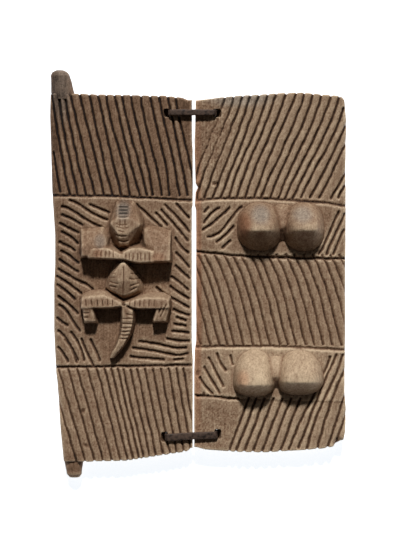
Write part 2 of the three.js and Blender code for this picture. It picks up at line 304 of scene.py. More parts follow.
def combine(obj: bpy.types.Object, others: list[bpy.types.Object], how: Boolean) -> None:
    """Joins closed meshes to an object, or cuts them out of it, and removes them.

    Args:
        obj: The object that is kept.
        others: The objects that are used up.
        how: Whether they are joined or cut away.
    """
    for other in others:
        modifier = obj.modifiers.new(how.name, "BOOLEAN")
        modifier.operation = how.value
        modifier.solver = "MANIFOLD"
        modifier.object = other
    finish_modifiers(obj)
    for other in others:
        bpy.data.meshes.remove(other.data)


def grid_faces(across: int, along: int) -> np.ndarray:
    """Quads of a grid of across + 1 by along + 1 vertices, counter-clockwise from above.

    Args:
        across: Cells in the second direction, in which vertex numbers grow by one.
        along: Cells in the first direction.

    Returns:
        Four vertex numbers for each cell.
    """
    first = np.arange(along)[:, None] * (across + 1) + np.arange(across)[None, :]
    first = first.ravel()
    return np.stack([first, first + 1, first + across + 2, first + across + 1], axis=1)


def closed_tube(rings: np.ndarray) -> tuple[np.ndarray, Faces]:
    """Joins closed rings of points into a tube, and closes each end at its middle.

    Args:
        rings: Places, by ring, point and axis.

    Returns:
        Vertices and faces.
    """
    count, sides, _ = rings.shape
    here = np.arange(count * sides).reshape(count, sides)
    after = np.roll(here, -1, axis=1)
    walls = np.stack([here[:-1], after[:-1], after[1:], here[1:]], axis=-1).reshape(-1, 4)
    poles = count * sides + np.arange(2)
    first = np.stack([np.full(sides, poles[0]), after[0], here[0]], axis=1)
    last = np.stack([np.full(sides, poles[1]), here[-1], after[-1]], axis=1)
    middles = rings[[0, -1]].mean(axis=1)
    return np.concatenate([rings.reshape(-1, 3), middles]), [walls, np.concatenate([first, last])]


@dataclass(frozen=True)
class CutShape:
    """Cross-section of a gouge cut: a V with a rounded shoulder on each side."""

    depth: float
    upper_wall: float  # width of the V's wall towards the top of the door
    lower_wall: float
    shoulder: float  # how far the ridges beside it are rounded down
    reach: float = 6.0  # width of the rounding, about half the distance between cuts
    dig: float = 0.0  # extra depth where the stroke was stopped with an upright cut

    BOTTOM = 0.18  # roundness of the bottom, as a share of the wall's width

    def section(self, distance: np.ndarray, above: np.ndarray) -> tuple[np.ndarray, np.ndarray]:
        """The V and the rounding beside it.

        With t = distance / wall and b = BOTTOM the V is the hyperbola
        (sqrt(1 + b^2) - sqrt(t^2 + b^2)) / (sqrt(1 + b^2) - b). The rounding is
        (1 - distance / reach)^2.

        Args:
            distance: Distances from the cut's middle.
            above: Positive on the cut's upper side.

        Returns:
            Both as shares of their full depths.
        """
        share = distance / np.where(above > 0, self.upper_wall, self.lower_wall)
        top = math.hypot(1.0, self.BOTTOM)
        vee = (top - np.hypot(share, self.BOTTOM)) / (top - self.BOTTOM)
        rounding = np.clip(1.0 - distance / self.reach, 0.0, 1.0) ** 2
        return np.clip(vee, 0.0, 1.0), rounding


@dataclass(frozen=True)
class Stroke:
    """One cut along a smooth path on the carved face."""

    path: Path
    shape: CutShape
    fade_in: float = 4.0
    fade_out: float = 4.0

    def carve(self, places: np.ndarray, drop: np.ndarray, cut: np.ndarray) -> None:
        """Deepens `drop` and `cut` where this stroke passes.

        The depth is depth * V + shoulder * rounding. Both grow in from nothing at the ends.

        Args:
            places: One row of x, y for each place.
            drop: Depth below the ridges at each place, made deeper where the cut is.
            cut: Share of the way to the bottom of a V, raised likewise.
        """
        shape = self.shape
        curve = curve_through(self.path, 2 if len(self.path) == 2 else 9)
        low = curve.min(axis=0) - shape.reach
        high = curve.max(axis=0) + shape.reach
        near = np.flatnonzero(np.all((places > low) & (places < high), axis=1))
        if len(near) == 0:
            return
        distance, above, along = nearest_on_path(places[near], curve)
        length = float(np.hypot(*np.diff(curve, axis=0).T).sum())
        fade = smooth_step(0.0, self.fade_in, along) * smooth_step(0.0, self.fade_out, length - along)
        vee, rounding = shape.section(distance, above)
        stop = 1.0 + shape.dig * np.exp(-(((length - along) / 3.0) ** 2))
        depth = shape.depth * vee * stop + shape.shoulder * rounding
        drop[near] = np.maximum(drop[near], fade * depth)
        cut[near] = np.maximum(cut[near], fade * vee)


@dataclass(frozen=True)
class GrooveField:
    """Grooves side by side: for each level of the panel, where each of them crosses it."""

    levels: tuple[float, ...]
    crossings: tuple[tuple[float, ...], ...]
    shape: CutShape
    fade_in: float = 1.0
    fade_out: float = 3.0

    def strokes(self) -> list[Stroke]:
        """One stroke for each groove, through its crossing of every level."""
        return [
            Stroke(tuple(zip(places, self.levels)), self.shape, self.fade_in, self.fade_out)
            for places in zip(*self.crossings)
        ]


@dataclass(frozen=True)
class Dent:
    """A pit, chip or hollow: an ellipse that is deepest in its middle."""

    middle: Point
    half_size: Point
    depth: float

    def carve(self, places: np.ndarray, drop: np.ndarray, cut: np.ndarray) -> None:
        """Adds depth * (1 - r^2)^2 to `drop`, with r = 1 on the ellipse, and darkens `cut`.

        Args:
            places: One row of x, y for each place.
            drop: Depth below the ridges at each place.
            cut: Share of the way to the bottom of a cut.
        """
        radius = np.sum(((places - self.middle) / self.half_size) ** 2, axis=1)
        bowl = np.clip(1.0 - radius, 0.0, 1.0) ** 2
        drop += self.depth * bowl
        np.maximum(cut, np.clip(self.depth / 3.0, 0.0, 1.0) * bowl, out=cut)


@dataclass(frozen=True)
class Patch:
    """An oval region with soft edges, in which a quality of the surface changes."""

    middle: Point
    half_size: Point
    amount: float

    def weight(self, places: np.ndarray) -> np.ndarray:
        """`amount` * exp(-r^4) at each place, with r = 1 on the oval."""
        radius = np.sum(((places[:, :2] - self.middle) / self.half_size) ** 2, axis=1)
        return self.amount * np.exp(-(radius**2))


def sum_of(patches: tuple[Patch, ...], places: np.ndarray) -> np.ndarray:
    """Adds up the weights of patches at each place."""
    total = np.zeros(len(places))
    for patch in patches:
        total += patch.weight(places)
    return total


@dataclass(frozen=True)
class Levels:
    """A value for each panel between boundary lines that cross a plank, from the top down."""

    lines: tuple[Path, ...]
    values: tuple[float, ...]

    def at(self, places: np.ndarray) -> np.ndarray:
        """The lowest panel's value, plus each line's step where the place lies above that line.

        Args:
            places: One row of x, y for each place.

        Returns:
            The value at each place, eased over about a millimetre at the lines.
        """
        total = np.full(len(places), float(self.values[-1]))
        for line, above, below in zip(self.lines, self.values[:-1], self.values[1:]):
            edge = np.interp(places[:, 0], *np.asarray(line).T)
            total += (above - below) * smooth_step(-0.3, 1.3, places[:, 1] - edge)
        return total


@dataclass
class Relief:
    """Everything cut into one plank's face."""

    strokes: list[Stroke]
    dents: tuple[Dent, ...] = ()
    steps: Levels | None = None
    worn: tuple[Patch, ...] = ()
    rough: tuple[Patch, ...] = ()
    seed: int = 1

    WOBBLE = 0.7
    WOBBLE_SIZE = 14.0
    TREMOR = 0.3
    TREMOR_SIZE = 3.5

    def unsteady(self, places: np.ndarray) -> np.ndarray:
        """Places moved a little by noise, so that straight strokes look cut by hand.

        Args:
            places: One row of x, y for each place.

        Returns:
            The moved places.
        """
        flat = np.column_stack([places, np.zeros(len(places))])
        shifts = [
            self.WOBBLE * lattice_noise(flat, self.WOBBLE_SIZE, self.seed + axis)
            + self.TREMOR * lattice_noise(flat, self.TREMOR_SIZE, self.seed + 10 + axis)
            for axis in range(2)
        ]
        return places + np.stack(shifts, axis=1)

    def carve(self, places: np.ndarray) -> tuple[np.ndarray, np.ndarray]:
        """Depth of the carving below the ridge tops.

        Strokes take the deepest of their depths, weakened where the face is worn; dents and
        the panels' levels add to it.

        Args:
            places: One row of x, y for each place.

        Returns:
            Depths in millimetres, and the share of the way to the bottom of a cut.
        """
        drop = np.zeros(len(places))
        cut = np.zeros(len(places))
        moved = self.unsteady(places)
        for stroke in self.strokes:
            stroke.carve(moved, drop, cut)
        flat = np.column_stack([places, np.zeros(len(places))])
        vigour = 1.0 + 0.3 * layered_noise(flat, 14.0, 3, self.seed + 20)
        vigour *= 1.0 - np.clip(sum_of(self.worn, places), 0.0, 1.0)
        drop *= vigour
        cut *= np.clip(vigour, 0.0, 1.0)
        for dent in self.dents:
            dent.carve(moved, drop, cut)
        if self.steps:
            drop += self.steps.at(moved)
        return drop, cut

    def texture(self, points: np.ndarray) -> np.ndarray:
        """Height of the small unevenness of the wood, rougher in the rough patches.

        Fibres 2 mm wide and 22 mm long, lumps of 7 mm and grit of 2 mm are added up.

        Args:
            points: Places in millimetres, one row of three each.

        Returns:
            Heights in millimetres.
        """
        fibre = layered_noise(points, (2.2, 22.0, 6.0), 2, self.seed + 30)
        lumps = lattice_noise(points, 7.0, self.seed + 40)
        grit = lattice_noise(points, 2.1, self.seed + 50)
        swell = lattice_noise(points, 55.0, self.seed + 60)
        coarse = 1.0 + 1.6 * np.clip(sum_of(self.rough, points), 0.0, 1.0)
        return coarse * (0.2 * fibre + 0.2 * lumps + 0.24 * grit) + 0.5 * swell


@dataclass
class Edge:
    """One edge of a plank: its line and how round its front corner is worn."""

    line: Path
    rounding: float


@dataclass
class PlankBody:
    """A plank as one closed surface: carved face, rough sides and plain back."""

    name: str
    south: Edge
    north: Edge
    west: Edge
    east: Edge
    columns: int
    rows: int
    column_pitches: Path
    row_pitches: Path
    relief: Relief
    seed: int = 5

    SIDE_ROWS = 9
    NOTCH_DEPTH = 1.4
    RAGGED = 0.5
    BACK_ROUNDING = 2.2

    def edge_height(self, places: np.ndarray, drop: np.ndarray) -> np.ndarray:
        """Height of the face, rounded down towards the four edges.

        Within `rounding` of an edge the corner follows a quarter circle,
        r - sqrt(r^2 - (r - distance)^2) below the face.

        Args:
            places: One row of x, y for each place.
            drop: Depth of the carving there.

        Returns:
            Heights above the back.
        """
        flat = np.column_stack([places, np.zeros(len(places))])
        uneven = 1.0 + 0.45 * lattice_noise(flat, 9.0, self.seed)
        lowest = np.zeros(len(places))
        for edge in (self.south, self.north, self.west, self.east):
            distance, _, _ = nearest_on_path(places, np.asarray(edge.line, float))
            radius = edge.rounding * (uneven if edge.rounding < 4.0 else 1.0)
            inner = np.clip(radius - distance, 0.0, None)
            lowest = np.maximum(lowest, radius - np.sqrt(np.clip(radius**2 - inner**2, 0.0, None)))
        return FACE - lowest - drop

    def outline_bite(self, places: np.ndarray) -> np.ndarray:
        """How far grooves that run off a plank's end notch its outline.

        Args:
            places: One row of x, y for each place on the end's line.

        Returns:
            Notch depths, deepest in the middle of each groove.
        """
        drop, cut = self.relief.carve(places)
        flat = np.column_stack([places, np.zeros(len(places))])
        chips = np.clip(lattice_noise(flat, 5.0, self.seed + 1), 0.0, 1.0)
        return self.NOTCH_DEPTH * cut + self.RAGGED * 1.6 * chips

    def face_places(self) -> np.ndarray:
        """Places of the face's grid, by row, column and axis.

        The four edge lines are blended as (1 - u) west + u east + (1 - v) south + v north,
        less the same blend of the four corners, and the two ends are notched by the grooves.

        Returns:
            The x, y of each grid point.
        """
        lines = {side: np.asarray(getattr(self, side).line, float) for side in
                 ("south", "north", "west", "east")}
        width = lines["south"][-1, 0] - lines["south"][0, 0]
        height = lines["west"][-1, 1] - lines["west"][0, 1]
        u = graded_positions(width, self.columns, self.column_pitches)
        v = graded_positions(height, self.rows, self.row_pitches)
        ends = []
        for side, inward in (("south", 1.0), ("north", -1.0)):
            x = lines[side][0, 0] + u * (lines[side][-1, 0] - lines[side][0, 0])
            y = np.interp(x, *lines[side].T)
            places = np.stack([x, y], axis=1)
            places[1:-1, 1] += inward * self.outline_bite(places)[1:-1]
            ends.append(places)
        sides = []
        for side, inward in (("west", 1.0), ("east", -1.0)):
            y = lines[side][0, 1] + v * (lines[side][-1, 1] - lines[side][0, 1])
            x = np.interp(y, lines[side][:, 1], lines[side][:, 0])
            places = np.stack([x, y], axis=1)
            flat = np.column_stack([places, np.zeros(len(places))])
            ragged = 0.5 + 0.5 * layered_noise(flat, 11.0, 3, self.seed + 2)
            places[1:-1, 0] += inward * self.RAGGED * ragged[1:-1]
            sides.append(places)
        south, north = ends
        west, east = sides
        u = u[None, :, None]
        v = v[:, None, None]
        corners = (
            (1 - u) * (1 - v) * south[0] + u * (1 - v) * south[-1]
            + (1 - u) * v * north[0] + u * v * north[-1]
        )
        return (
            (1 - u) * west[:, None] + u * east[:, None]
            + (1 - v) * south[None] + v * north[None] - corners
        )

    def rim_numbers(self, across: int, along: int) -> np.ndarray:
        """Vertex numbers round a grid's rim, counter-clockwise from its first corner.

        Args:
            across: Cells from west to east.
            along: Cells from south to north.

        Returns:
            The numbers, each once.
        """
        number = np.arange((across + 1) * (along + 1)).reshape(along + 1, across + 1)
        return np.concatenate(
            [number[0, :-1], number[:-1, -1], number[-1, :0:-1], number[:0:-1, 0]]
        )

    def side_rows(self, rim: np.ndarray) -> np.ndarray:
        """Rows of points down the plank's sides, from just below the face's rim to the back.

        Each point lies in from the rim by a grain-like unevenness, long along the door and
        fine across it, so that the long sides look split and the ends look like end grain.
        The last row is drawn in by a quarter circle.

        Args:
            rim: The face's rim points in order, one row of three each.

        Returns:
            Points by row, rim point and axis.
        """
        along = np.roll(rim[:, :2], -1, axis=0) - np.roll(rim[:, :2], 1, axis=0)
        inward = np.stack([-along[:, 1], along[:, 0]], axis=1)
        inward /= np.hypot(*inward.T)[:, None]
        rows = []
        for share in np.linspace(0.0, 1.0, self.SIDE_ROWS + 1)[1:]:
            height = rim[:, 2] + (0.6 - rim[:, 2]) * share
            points = np.column_stack([rim[:, :2], height])
            grain = layered_noise(points, (3.5, 40.0, 4.0), 3, self.seed + 3)
            crack = np.clip(1.0 - np.abs(grain) / 0.05, 0.0, 1.0)
            corner = np.clip(self.BACK_ROUNDING - height, 0.0, None)
            tuck = self.BACK_ROUNDING - np.sqrt(np.clip(self.BACK_ROUNDING**2 - corner**2, 0.0, None))
            depth = self.RAGGED * (1.0 + grain) + 0.5 * crack + 0.8 * tuck
            depth *= smooth_step(0.0, 0.25, share)
            points[:, :2] += inward * depth[:, None]
            rows.append(points)
        return np.stack(rows)

    def build(self) -> bpy.types.Object:
        """The plank as one closed mesh, with a coarser grid on its hidden back.

        Returns:
            The plank's object.
        """
        places = self.face_places()
        flat = places.reshape(-1, 2)
        drop, _ = self.relief.carve(flat)
        height = self.edge_height(flat, drop)
        texture = self.relief.texture(np.column_stack([flat, height]))
        face = np.column_stack([flat, np.minimum(height + texture, FACE + 1.0)])
        rim_ids = self.rim_numbers(self.columns, self.rows)
        rim = face[rim_ids]
        rows = self.side_rows(rim)
        count = len(rim)
        first_row = len(face) + np.arange(rows.shape[0] * count).reshape(-1, count)
        wall = np.vstack([rim_ids, first_row])
        after = np.roll(wall, -1, axis=1)
        walls = np.stack([wall[1:], after[1:], after[:-1], wall[:-1]], axis=-1).reshape(-1, 4)
        back = places[::BACK_STEP, ::BACK_STEP].copy()
        across, along = back.shape[1] - 1, back.shape[0] - 1
        back_flat = back.reshape(-1, 2)
        back_rim = self.rim_numbers(across, along)
        back_flat[back_rim] = rows[-1, ::BACK_STEP, :2] * 1.0
        middle = back_flat.mean(axis=0)
        back_flat[back_rim] += 1.6 * np.sign(middle - back_flat[back_rim])
        hollow = lattice_noise(np.column_stack([back_flat, 0 * back_flat[:, 0]]), 26.0, self.seed + 4)
        adzed = 0.8 * np.clip(hollow, 0.0, 1.0)
        adzed[back_rim] = 0.0
        back_start = len(face) + rows.shape[0] * count
        back_faces = grid_faces(across, along)[:, ::-1] + back_start
        coarse = back_rim + back_start
        coarse_after = np.roll(coarse, -1)
        fine = [np.roll(first_row[-1], -k)[::BACK_STEP] for k in range(BACK_STEP + 1)]
        joints = np.concatenate([
            np.stack([coarse, fine[1], fine[0]], axis=1),
            np.stack([coarse, fine[2], fine[1]], axis=1),
            np.stack([coarse, coarse_after, fine[2]], axis=1),
            np.stack([coarse_after, fine[3], fine[2]], axis=1),
            np.stack([coarse_after, fine[4], fine[3]], axis=1),
        ])
        vertices = np.concatenate([face, rows.reshape(-1, 3), np.column_stack([back_flat, adzed])])
        faces = [grid_faces(self.columns, self.rows), walls, back_faces, joints]
        return add_mesh(self.name, vertices, faces)


@dataclass(frozen=True)
class PivotPost:
    """A worn pivot carved at a plank's corner, flatter than it is wide."""

    base: Point
    direction: float  # +1 up the door, -1 down
    lean: float
    profile: Path  # (radius, distance beyond the plank's end) from root to tip
    seed: int

    SIDES = 56
    FLATNESS = 0.86
    STEP = 1.3

    def build(self) -> bpy.types.Object:
        """A ring of radius r(t) at each distance t, leaning evenly and weathered by noise.

        Returns:
            The post as a closed mesh.
        """
        radii, reaches = np.asarray(self.profile, float).T
        sweep = np.concatenate([[0.0], np.cumsum(np.hypot(np.diff(radii), np.diff(reaches)))])
        steps = np.linspace(0.0, sweep[-1], int(sweep[-1] / self.STEP))
        radius = np.interp(steps, sweep, radii)
        reach = np.interp(steps, sweep, reaches)
        angle = np.linspace(0.0, 2 * math.pi, self.SIDES, endpoint=False)
        lean = self.lean * np.clip(reach / reach[-1], 0.0, None)
        x = self.base[0] + lean[:, None] + radius[:, None] * np.cos(angle)
        y = np.repeat((self.base[1] + self.direction * reach)[:, None], self.SIDES, axis=1)
        z = FACE / 2 + self.FLATNESS * radius[:, None] * np.sin(angle)
        rings = np.stack([x, y, z], axis=-1)
        flat = rings.reshape(-1, 3)
        grain = layered_noise(flat, (3.0, 24.0, 3.0), 2, self.seed)
        lumps = lattice_noise(flat, 8.0, self.seed + 1)
        shrink = 1.0 - np.clip(0.035 + 0.03 * grain + 0.03 * lumps, 0.0, 1.0)
        centre = np.stack([self.base[0] + lean, self.base[1] + self.direction * reach,
                           np.full_like(lean, FACE / 2)], axis=-1)
        rings = centre[:, None] + (rings - centre[:, None]) * shrink.reshape(x.shape)[..., None]
        return add_mesh("pivot_post", *closed_tube(rings))


@dataclass(frozen=True)
class HewnBlock:
    """A block of the figure, as its outline at the face and the corners of its top."""

    foot: Path
    crest: tuple[tuple[float, float, float], ...]

    def build(self, origin: Point) -> bpy.types.Object:
        """The block's flat facets are the hull of its corners.

        Args:
            origin: Where the block's own x = y = 0 lies on the door.

        Returns:
            The block as a closed mesh.
        """
        corners = [(x, y, z) for x, y in self.foot for z in (-BURIED, 0.0)] + list(self.crest)
        shape = bmesh.new()
        for x, y, height in corners:
            shape.verts.new(((origin[0] + x) * MILLIMETRE, (origin[1] + y) * MILLIMETRE,
                             (FACE + height) * MILLIMETRE))
        hull = bmesh.ops.convex_hull(shape, input=shape.verts)
        inside = [part for part in hull["geom_interior"] if isinstance(part, bmesh.types.BMVert)]
        bmesh.ops.delete(shape, geom=inside, context="VERTS")
        mesh = bpy.data.meshes.new("hewn_block")
        shape.to_mesh(mesh)
        shape.free()
        obj = bpy.data.objects.new("hewn_block", mesh)
        bpy.context.scene.collection.objects.link(obj)
        return obj


@dataclass(frozen=True)
class Boss:
    """A breast-shaped boss: a long slope above its tip and a steep underside below it."""

    tip: Point
    up: float
    down: float
    left: float
    right: float
    rise: float
    rim: float  # half length of the blunt edge at the tip
    slope_power: float = 1.8  # above the tip; 1 is a straight slope, more bulges
    side_power: float = 2.2
    under_power: float = 1.0
    squareness: float = 0.9  # 1 gives an elliptical base, less a squarer one

    SIDES = 72
    RINGS = 30

    def build(self) -> bpy.types.Object:
        """Rings shrink from the base outline to the tip's short edge.

        At the share s from the tip and the angle t, the place is (1 - s) tip(t) + s base(t)
        and the height is rise * (1 - s^power), with the power changing from the slope above
        to the sides and the underside. The base is the ellipse
        (sgn(cos t) |cos t|^n, sgn(sin t) |sin t|^n) stretched to the four reaches.

        Returns:
            The boss as a closed mesh.
        """
        angle = np.linspace(0.0, 2 * math.pi, self.SIDES, endpoint=False)
        cosine, sine = np.cos(angle), np.sin(angle)
        across = np.sign(cosine) * np.abs(cosine) ** self.squareness
        along = np.sign(sine) * np.abs(sine) ** self.squareness
        base = np.stack([np.where(cosine > 0, self.right, self.left) * across,
                         np.where(sine > 0, self.up, self.down) * along], axis=1)
        edge = np.stack([self.rim * cosine, 1.5 * sine], axis=1)
        power = (
            self.side_power + (self.slope_power - self.side_power) * np.clip(sine, 0.0, 1.0)
            + (self.under_power - self.side_power) * np.clip(-sine, 0.0, 1.0)
        )
        share = np.linspace(0.0, 1.0, self.RINGS)[:, None]
        places = self.tip + (1.0 - share[..., None]) * edge + share[..., None] * base
        height = FACE + self.rise * (1.0 - share**power)
        rings = np.concatenate([places, height[..., None]], axis=-1)
        root = rings[-1:].copy()
        root[..., 2] = FACE - BURIED
        return add_mesh("boss", *closed_tube(np.concatenate([rings, root])))


@dataclass
class RaisedCarving:
    """Raised forms melted into one worn surface, then tooled."""

    strokes: list[Stroke] = field(default_factory=list)
    dents: tuple[Dent, ...] = ()
    grain: float = 1.4  # size of the surface's cells
    wear_rounds: int = 3
    chatter: float = 0.4  # height of the tool marks
    seed: int = 3

    def melt(self, blocks: list[bpy.types.Object]) -> bpy.types.Object:
        """Joins blocks, covers them with an even mesh and wears their edges round.

        Args:
            blocks: Closed meshes that overlap; they are used up.

        Returns:
            One closed mesh.
        """
        whole = blocks[0]
        combine(whole, blocks[1:], Boolean.JOIN)
        modifier = whole.modifiers.new("even", "REMESH")
        modifier.mode = "VOXEL"
        modifier.voxel_size = self.grain * MILLIMETRE
        finish_modifiers(whole)
        edges = read_edges(whole.data)
        worn = relaxed(read_vertices(whole.data), edges, self.wear_rounds)
        write_vertices(whole.data, worn)
        return whole

    def tool(self, obj: bpy.types.Object) -> None:
        """Cuts the strokes and dents downwards and adds tool marks along the normals.

        Args:
            obj: The melted carving.
        """
        vertices = read_vertices(obj.data)
        normals = read_normals(obj.data)
        drop = np.zeros(len(vertices))
        cut = np.zeros(len(vertices))
        flat = np.column_stack([vertices[:, :2], np.zeros(len(vertices))])
        moved = vertices[:, :2] + 0.5 * np.stack(
            [lattice_noise(flat, 6.0, self.seed + k) for k in range(2)], axis=1
        )
        for mark in (*self.strokes, *self.dents):
            mark.carve(moved, drop, cut)
        marks = (
            0.8 * lattice_noise(vertices, (4.5, 7.0, 5.0), self.seed + 2)
            + 0.5 * lattice_noise(vertices, (1.9, 4.0, 2.2), self.seed + 3)
        )
        vertices += self.chatter * marks[:, None] * normals
        vertices[:, 2] -= drop
        write_vertices(obj.data, vertices)


@dataclass(frozen=True)
class Weathering:
    """Where a plank's wood is dark, light, reddish, grey or dirty, and where shade and a sheen are
    painted into it.
    """

    tones: Levels
    # tone changes by patch; some of them are painted shade
    tone_and_shade_patches: tuple[Patch, ...] = ()
    ruddy: tuple[Patch, ...] = ()
    # grey patina, and a painted sheen on the bosses' upper slopes and the right plank's top band
    grey: tuple[Patch, ...] = ()

    FINE_ROUNDS = 3
    BROAD_ROUNDS = 40
    FINE_HEIGHT = 0.32
    BROAD_HEIGHT = 1.6

    def apply(self, obj: bpy.types.Object, relief: Relief, raised: list[RaisedCarving]) -> None:
        """Stores what the wood's finish reads, as one value for each vertex.

        `worn` and `hollow` are how far a vertex stands out of, or lies in, the relaxed surface
        along its normal: after a few rounds for edges, after many for broad hollows. `hollow` paints
        shade into the broad hollows and lightens the broad high spots. `cut` is the depth of the
        strokes.

        Args:
            obj: The finished plank.
            relief: What is cut into its face.
            raised: Its raised carvings.
        """
        vertices = read_vertices(obj.data)
        normals = read_normals(obj.data)
        edges = read_edges(obj.data)
        fine = relaxed(vertices, edges, self.FINE_ROUNDS)
        broad = relaxed(fine, edges, self.BROAD_ROUNDS)
        edge = np.einsum("ij,ij->i", vertices - fine, normals) / self.FINE_HEIGHT
        hollow = np.einsum("ij,ij->i", vertices - broad, normals) / self.BROAD_HEIGHT
        flat = vertices[:, :2]
        _, cut = relief.carve(flat)
        cut *= smooth_step(2.5, 1.0, vertices[:, 2] - FACE) * smooth_step(14.0, 22.0, vertices[:, 2])
        for carving in raised:
            drop = np.zeros(len(flat))
            on_top = np.zeros(len(flat))
            for mark in (*carving.strokes, *carving.dents):
                mark.carve(flat, drop, on_top)
            cut = np.maximum(cut, on_top * smooth_step(1.0, 2.5, vertices[:, 2] - FACE))
        values = {
            "cut": cut,
            "worn": np.clip(edge, -1.0, 1.0),
            # hollow: painted shade, darker in broad hollows and paler on broad high spots
            "hollow": np.clip(hollow, -1.0, 1.0),
            # tone: the panels' tones plus patches, some of which are painted shade
            "tone": self.tones.at(flat) + sum_of(self.tone_and_shade_patches, flat),
            "ruddy": np.clip(sum_of(self.ruddy, flat), 0.0, 1.0),
            # grey: grey patina, and a painted sheen on the bosses and the right plank's top band
            "grey": np.clip(sum_of(self.grey, flat), 0.0, 1.0),
        }
        for name, value in values.items():
            layer = obj.data.attributes.new(name, "FLOAT", "POINT")
            layer.data.foreach_set("value", value.astype(np.float32))


def dress(obj: bpy.types.Object, material: bpy.types.Material, node: str, slot: str) -> None:
    """Gives a finished piece its material and shading and ties it to the frame.

    Args:
        obj: The piece.
        material: Its finish.
        node: The CAD node that it stands for.
        slot: The record's name for the finish.
    """
    obj.data.materials.clear()
    obj.data.materials.append(material)
    obj.data.shade_smooth()
    obj.name = node + "_carved" if slot == WOOD_SLOT else node + "_forged"
    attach(obj, ROOT_BODY)
    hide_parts(node)
    LOG.info("%s: %d triangles", obj.name, sum(len(face.vertices) - 2 for face in obj.data.polygons))


TOP_DEEP = CutShape(depth=3.0, upper_wall=2.7, lower_wall=1.9, shoulder=2.5, dig=0.5)
TOP_DEEP_RISING = CutShape(depth=3.0, upper_wall=2.4, lower_wall=2.0, shoulder=2.6, dig=0.5)
SOFT_RIB = CutShape(depth=1.3, upper_wall=3.8, lower_wall=1.5, shoulder=1.3, dig=0.4)
FOOT_GROOVE = CutShape(depth=1.5, upper_wall=3.0, lower_wall=1.6, shoulder=1.6, reach=5.0)
FOOT_RISING = CutShape(depth=2.3, upper_wall=3.0, lower_wall=2.1, shoulder=2.2)
GOUGE = CutShape(depth=3.0, upper_wall=1.7, lower_wall=3.2, shoulder=1.6, reach=5.0)
LINE_CUT = CutShape(depth=3.0, upper_wall=1.7, lower_wall=3.4, shoulder=0.6, reach=5.0)
KNIFE_CUT = CutShape(depth=1.4, upper_wall=1.0, lower_wall=1.6, shoulder=0.4, reach=3.5)
SCRATCH = CutShape(depth=0.6, upper_wall=1.2, lower_wall=1.2, shoulder=0.3, reach=3.0)
DEEP_CUT = CutShape(depth=3.5, upper_wall=1.4, lower_wall=2.6, shoulder=0.8, reach=5.0)


def strokes_of(shape: CutShape, *paths: Path) -> list[Stroke]:
    """One stroke of the given shape along each path."""
    return [Stroke(path, shape) for path in paths]


@dataclass(frozen=True)
class StapleHole:
    """Room for one leg of a staple: a hole through the plank and a channel at its back."""

    middle: Point
    size: Point
    channel_middle: Point
    channel_size: Point
    channel_depth: float
    outward: int  # which way the hole's far side lies: -1 left, +1 right
    narrowing: float
    seed: int

    SIDES = 48
    STEPS = 24

    def prism(self, middle: Point, size: Point, low: float, high: float,
              narrowing: float = 0.0) -> bpy.types.Object:
        """A rounded, uneven prism: |x / a|^5 + |y / b|^5 = 1, with noise added to its size.

        Its outer wall slants in towards the leg as it goes down, to 1 - narrowing of the width.

        Args:
            middle: Centre on the door.
            size: Width and height.
            low: Height of its lower end.
            high: Height of its upper end.
            narrowing: Share of the width that is lost at the lower end.

        Returns:
            A closed mesh to cut with.
        """
        angle = np.linspace(0.0, 2 * math.pi, self.SIDES, endpoint=False)
        ring = np.stack([np.cos(angle), np.sin(angle)], axis=1)
        ring = np.sign(ring) * np.abs(ring) ** 0.4
        heights = np.linspace(low, high, self.STEPS)
        x = middle[0] + 0.5 * size[0] * ring[:, 0]
        y = middle[1] + 0.5 * size[1] * ring[:, 1]
        rings = np.stack([np.tile(x, (self.STEPS, 1)), np.tile(y, (self.STEPS, 1)),
                          np.repeat(heights[:, None], self.SIDES, axis=1)], axis=-1)
        flat = rings.reshape(-1, 3)
        uneven = 0.06 * layered_noise(flat, 4.0, 2, self.seed).reshape(self.STEPS, -1)
        rings[..., 0] += (rings[..., 0] - middle[0]) * uneven
        rings[..., 1] += (rings[..., 1] - middle[1]) * uneven
        inner = middle[0] - self.outward * size[0] / 2
        kept = 1.0 - narrowing * smooth_step(FACE, self.channel_depth, rings[..., 2])
        rings[..., 0] = inner + (rings[..., 0] - inner) * kept
        return add_mesh("staple_hole", *closed_tube(rings))

    def cutters(self) -> list[bpy.types.Object]:
        """The hole and the channel as closed meshes."""
        return [
            self.prism(self.middle, self.size, -2.0, FACE + 6.0, self.narrowing),
            self.prism(self.channel_middle, self.channel_size, -2.0, self.channel_depth),
        ]


